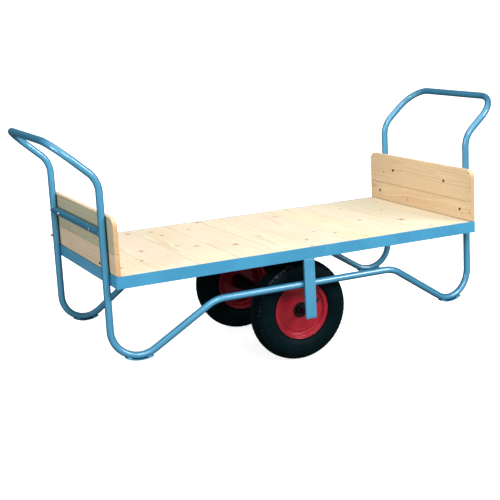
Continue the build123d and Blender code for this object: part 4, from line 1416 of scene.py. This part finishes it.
def wheel_welds(centre, sy):
    x, y, z = centre
    shape = Shape()
    # disc to hub on both sides
    for offset in (20.5, 16.1):
        shape.weld(hoop(full_turn(90), HUB_R + 1.2, x, y + sy * offset, z), radius=2.3,
                   closed=True, seed=int(offset), up=Y_AXIS)
    # disc to rim in six runs
    for k in range(6):
        t = np.linspace(k * TAU / 6 + 0.1, k * TAU / 6 + 0.5, 20)
        shape.weld(hoop(t, 88.2, x, y + sy * 14.9, z), radius=2.0, seed=90 + k, up=Y_AXIS)
    return shape


def wheel(side, sy):
    body = side + "_wheel"
    centre = WHEEL_CENTRE[body]
    outboard = (0, sy, 0)
    tyre(side, sy)

    radial = np.array([math.cos(VALVE_TURN), 0, math.sin(VALVE_TURN)])
    valve_axis = np.array(outboard) * math.sin(VALVE_TILT) - radial * math.cos(VALVE_TILT)
    valve = centre + np.array([0, sy * 13.5, 0]) + radial * 95.0
    hole = Shape().rod(valve, valve_axis, start=-3.5, end=21.5, radius=4.35, segments=24)
    Shape().turned(centre, outboard, rounded(RIM_SECTION, 5.0, 5), 144).make(
        side + "_rim_pressed", RED, body, "red_paint", side + "_rim", cut=hole)
    Shape().turned(centre, outboard, rounded(HUB_SECTION, [0.5, 1.2, 1.2, 0.5], 3), 96).make(
        side + "_hub_tube", RED_HUB, body, "red_paint", side + "_hub")
    wheel_welds(centre, sy).make(side + "_wheel_weld_beads", RED_HUB, body, "red_paint",
                                 angle=60)
    Shape().turned(valve, valve_axis, BOOT_PROFILE, 40).make(
        side + "_valve_boot", VALVE, body, "valve_rubber", side + "_valve_stem")
    angles = full_turn(72)
    flutes = 0.28 * (0.5 + 0.5 * np.cos(angles * 18))
    cap = [(t, radius - fluted * flutes) for t, radius, fluted in CAP_PROFILE]
    Shape().grid(ring_rows(valve, valve_axis, angles, cap)).make(
        side + "_valve_dust_cap", PLASTIC, body, "valve_plastic", side + "_valve_cap")


for sy, side in SIDES:
    wheel(side, sy)

# ---------------------------------------------------------------------------
# Materials for the CAD nodes that stay in view; the first matching pattern wins
# ---------------------------------------------------------------------------
CAD_MATERIALS = (
    ("*_joint_sleeve", BARE), ("axle", BRIGHT), ("axle_spacer_tube", BLACK),
    ("deck_screws", ZINC), ("collar_grub_screws", OXIDE), ("*_axle_collar", OXIDE),
    ("*_inner_tube", TUBE), ("*_bearing_seals", SEAL), ("*_bearing_*", BEARING))

for node, obj in frame["nodes"].items():
    mat = next((m for pattern, m in CAD_MATERIALS if fnmatchcase(node, pattern)), None)
    if mat is None:
        continue
    if not obj.material_slots:
        obj.data.materials.append(mat)
    for slot in obj.material_slots:
        slot.material = mat


# ---------------------------------------------------------------------------
# Floor, world, lights and camera
# ---------------------------------------------------------------------------
def floor_material():
    """Near white to the camera, grey to all other rays."""
    mat = Mat("studio_floor")
    camera_ray = mat.node("LightPath", out="Is Camera Ray")
    pale = mat.mix(mat.noise(scale=2.0), (0.80, 0.80, 0.80), (0.84, 0.84, 0.835))
    grain = mat.noise(scale=300.0, detail=2.0)
    paint = mat.principled(
        Base_Color=mat.mix(camera_ray, (0.20, 0.22, 0.225), pale), Roughness=0.75,
        Specular_IOR_Level=0.1, Normal=mat.bump(grain, strength=0.02, distance=0.001))
    # the glow grows away from the truck
    distance = mat.node("VectorMath", {0: mat.place}, out=1, operation="LENGTH")
    glow = camera_ray * mat.smooth(distance, lo=1.2, hi=4.0, to=(0.80, 1.15))
    emission = mat.node("Emission", {0: (1, 1, 1), 1: glow})
    return mat.finish(mat.node("AddShader", {0: paint, 1: emission}))


FLOOR_HALF = 40
floor_mesh = bpy.data.meshes.new("studio_floor")
floor_mesh.from_pydata([(x * FLOOR_HALF, y * FLOOR_HALF, 0)
                        for x, y in ((-1, -1), (1, -1), (1, 1), (-1, 1))], [], [(0, 1, 2, 3)])
floor = link_object("studio_floor", floor_mesh)
floor_mesh.materials.append(floor_material())


def studio_world():
    """White to the camera; to other rays a soft sky that brightens upwards."""
    world = bpy.data.worlds.new("studio")
    scene.world = world
    graph = Graph(world)
    camera_ray = graph.node("LightPath", out="Is Camera Ray")
    height = graph.split(graph.node("TexCoord", out="Generated"))[2]
    sky = graph.ramp(graph.remap(height, lo=-0.2, hi=1.0), [
        (0.0, (0.30, 0.34, 0.35)), (0.30, (0.40, 0.45, 0.46)), (1.0, (0.92, 0.94, 0.96))])
    soft = graph.node("Background", {"Color": sky, "Strength": 0.56})
    white = graph.node("Background", {"Color": (1, 1, 1), "Strength": 1.0})
    graph.new("OutputWorld", {0: graph.node("MixShader", {0: camera_ray, 1: soft, 2: white})})


studio_world()


def area_light(name, location, target, width, height, watts):
    light = bpy.data.lights.new(name, "AREA")
    light.shape = "RECTANGLE"
    light.size, light.size_y = width, height
    light.energy = watts
    obj = link_object(name, light)
    obj.location = location
    obj.visible_camera = False
    obj.rotation_mode = "QUATERNION"
    obj.rotation_quaternion = (Vector(target) - Vector(location)).to_track_quat("-Z", "Y")


area_light("top_soft", location=(-0.1, 0.1, 2.8), target=(0.0, 0.0, 0.4),
           width=2.6, height=2.0, watts=25.0)
area_light("front_right", location=(3.6, -4.6, 3.6), target=(0.0, 0.0, 0.3),
           width=2.6, height=2.0, watts=265.0)
area_light("front_left", location=(-0.6, -3.8, 3.0), target=(0.0, 0.0, 0.3),
           width=2.0, height=1.4, watts=78.0)
area_light("side_left", location=(-3.6, -1.2, 1.8), target=(0.2, 0.0, 0.5),
           width=1.2, height=1.2, watts=48.0)


def place_camera():
    camera = bpy.data.cameras.new("camera")
    obj = link_object("camera", camera)
    scene.camera = obj
    right = (0.89919944, -0.43453445, -0.05118771)
    up = (0.13548814, 0.16529397, 0.97689348)
    back = (-0.41603285, -0.88535739, 0.20750651)
    pose = Matrix((right, up, back)).transposed().to_4x4()
    pose.translation = (-1.964223, -4.070269, 1.392285)
    obj.matrix_world = pose
    camera.sensor_fit = "HORIZONTAL"
    camera.sensor_width = 36.0
    camera.lens = 81.975528
    camera.shift_x, camera.shift_y = -0.005696, -0.02188
    camera.clip_start, camera.clip_end = 0.05, 200.0


place_camera()
scene.view_settings.view_transform = "Standard"
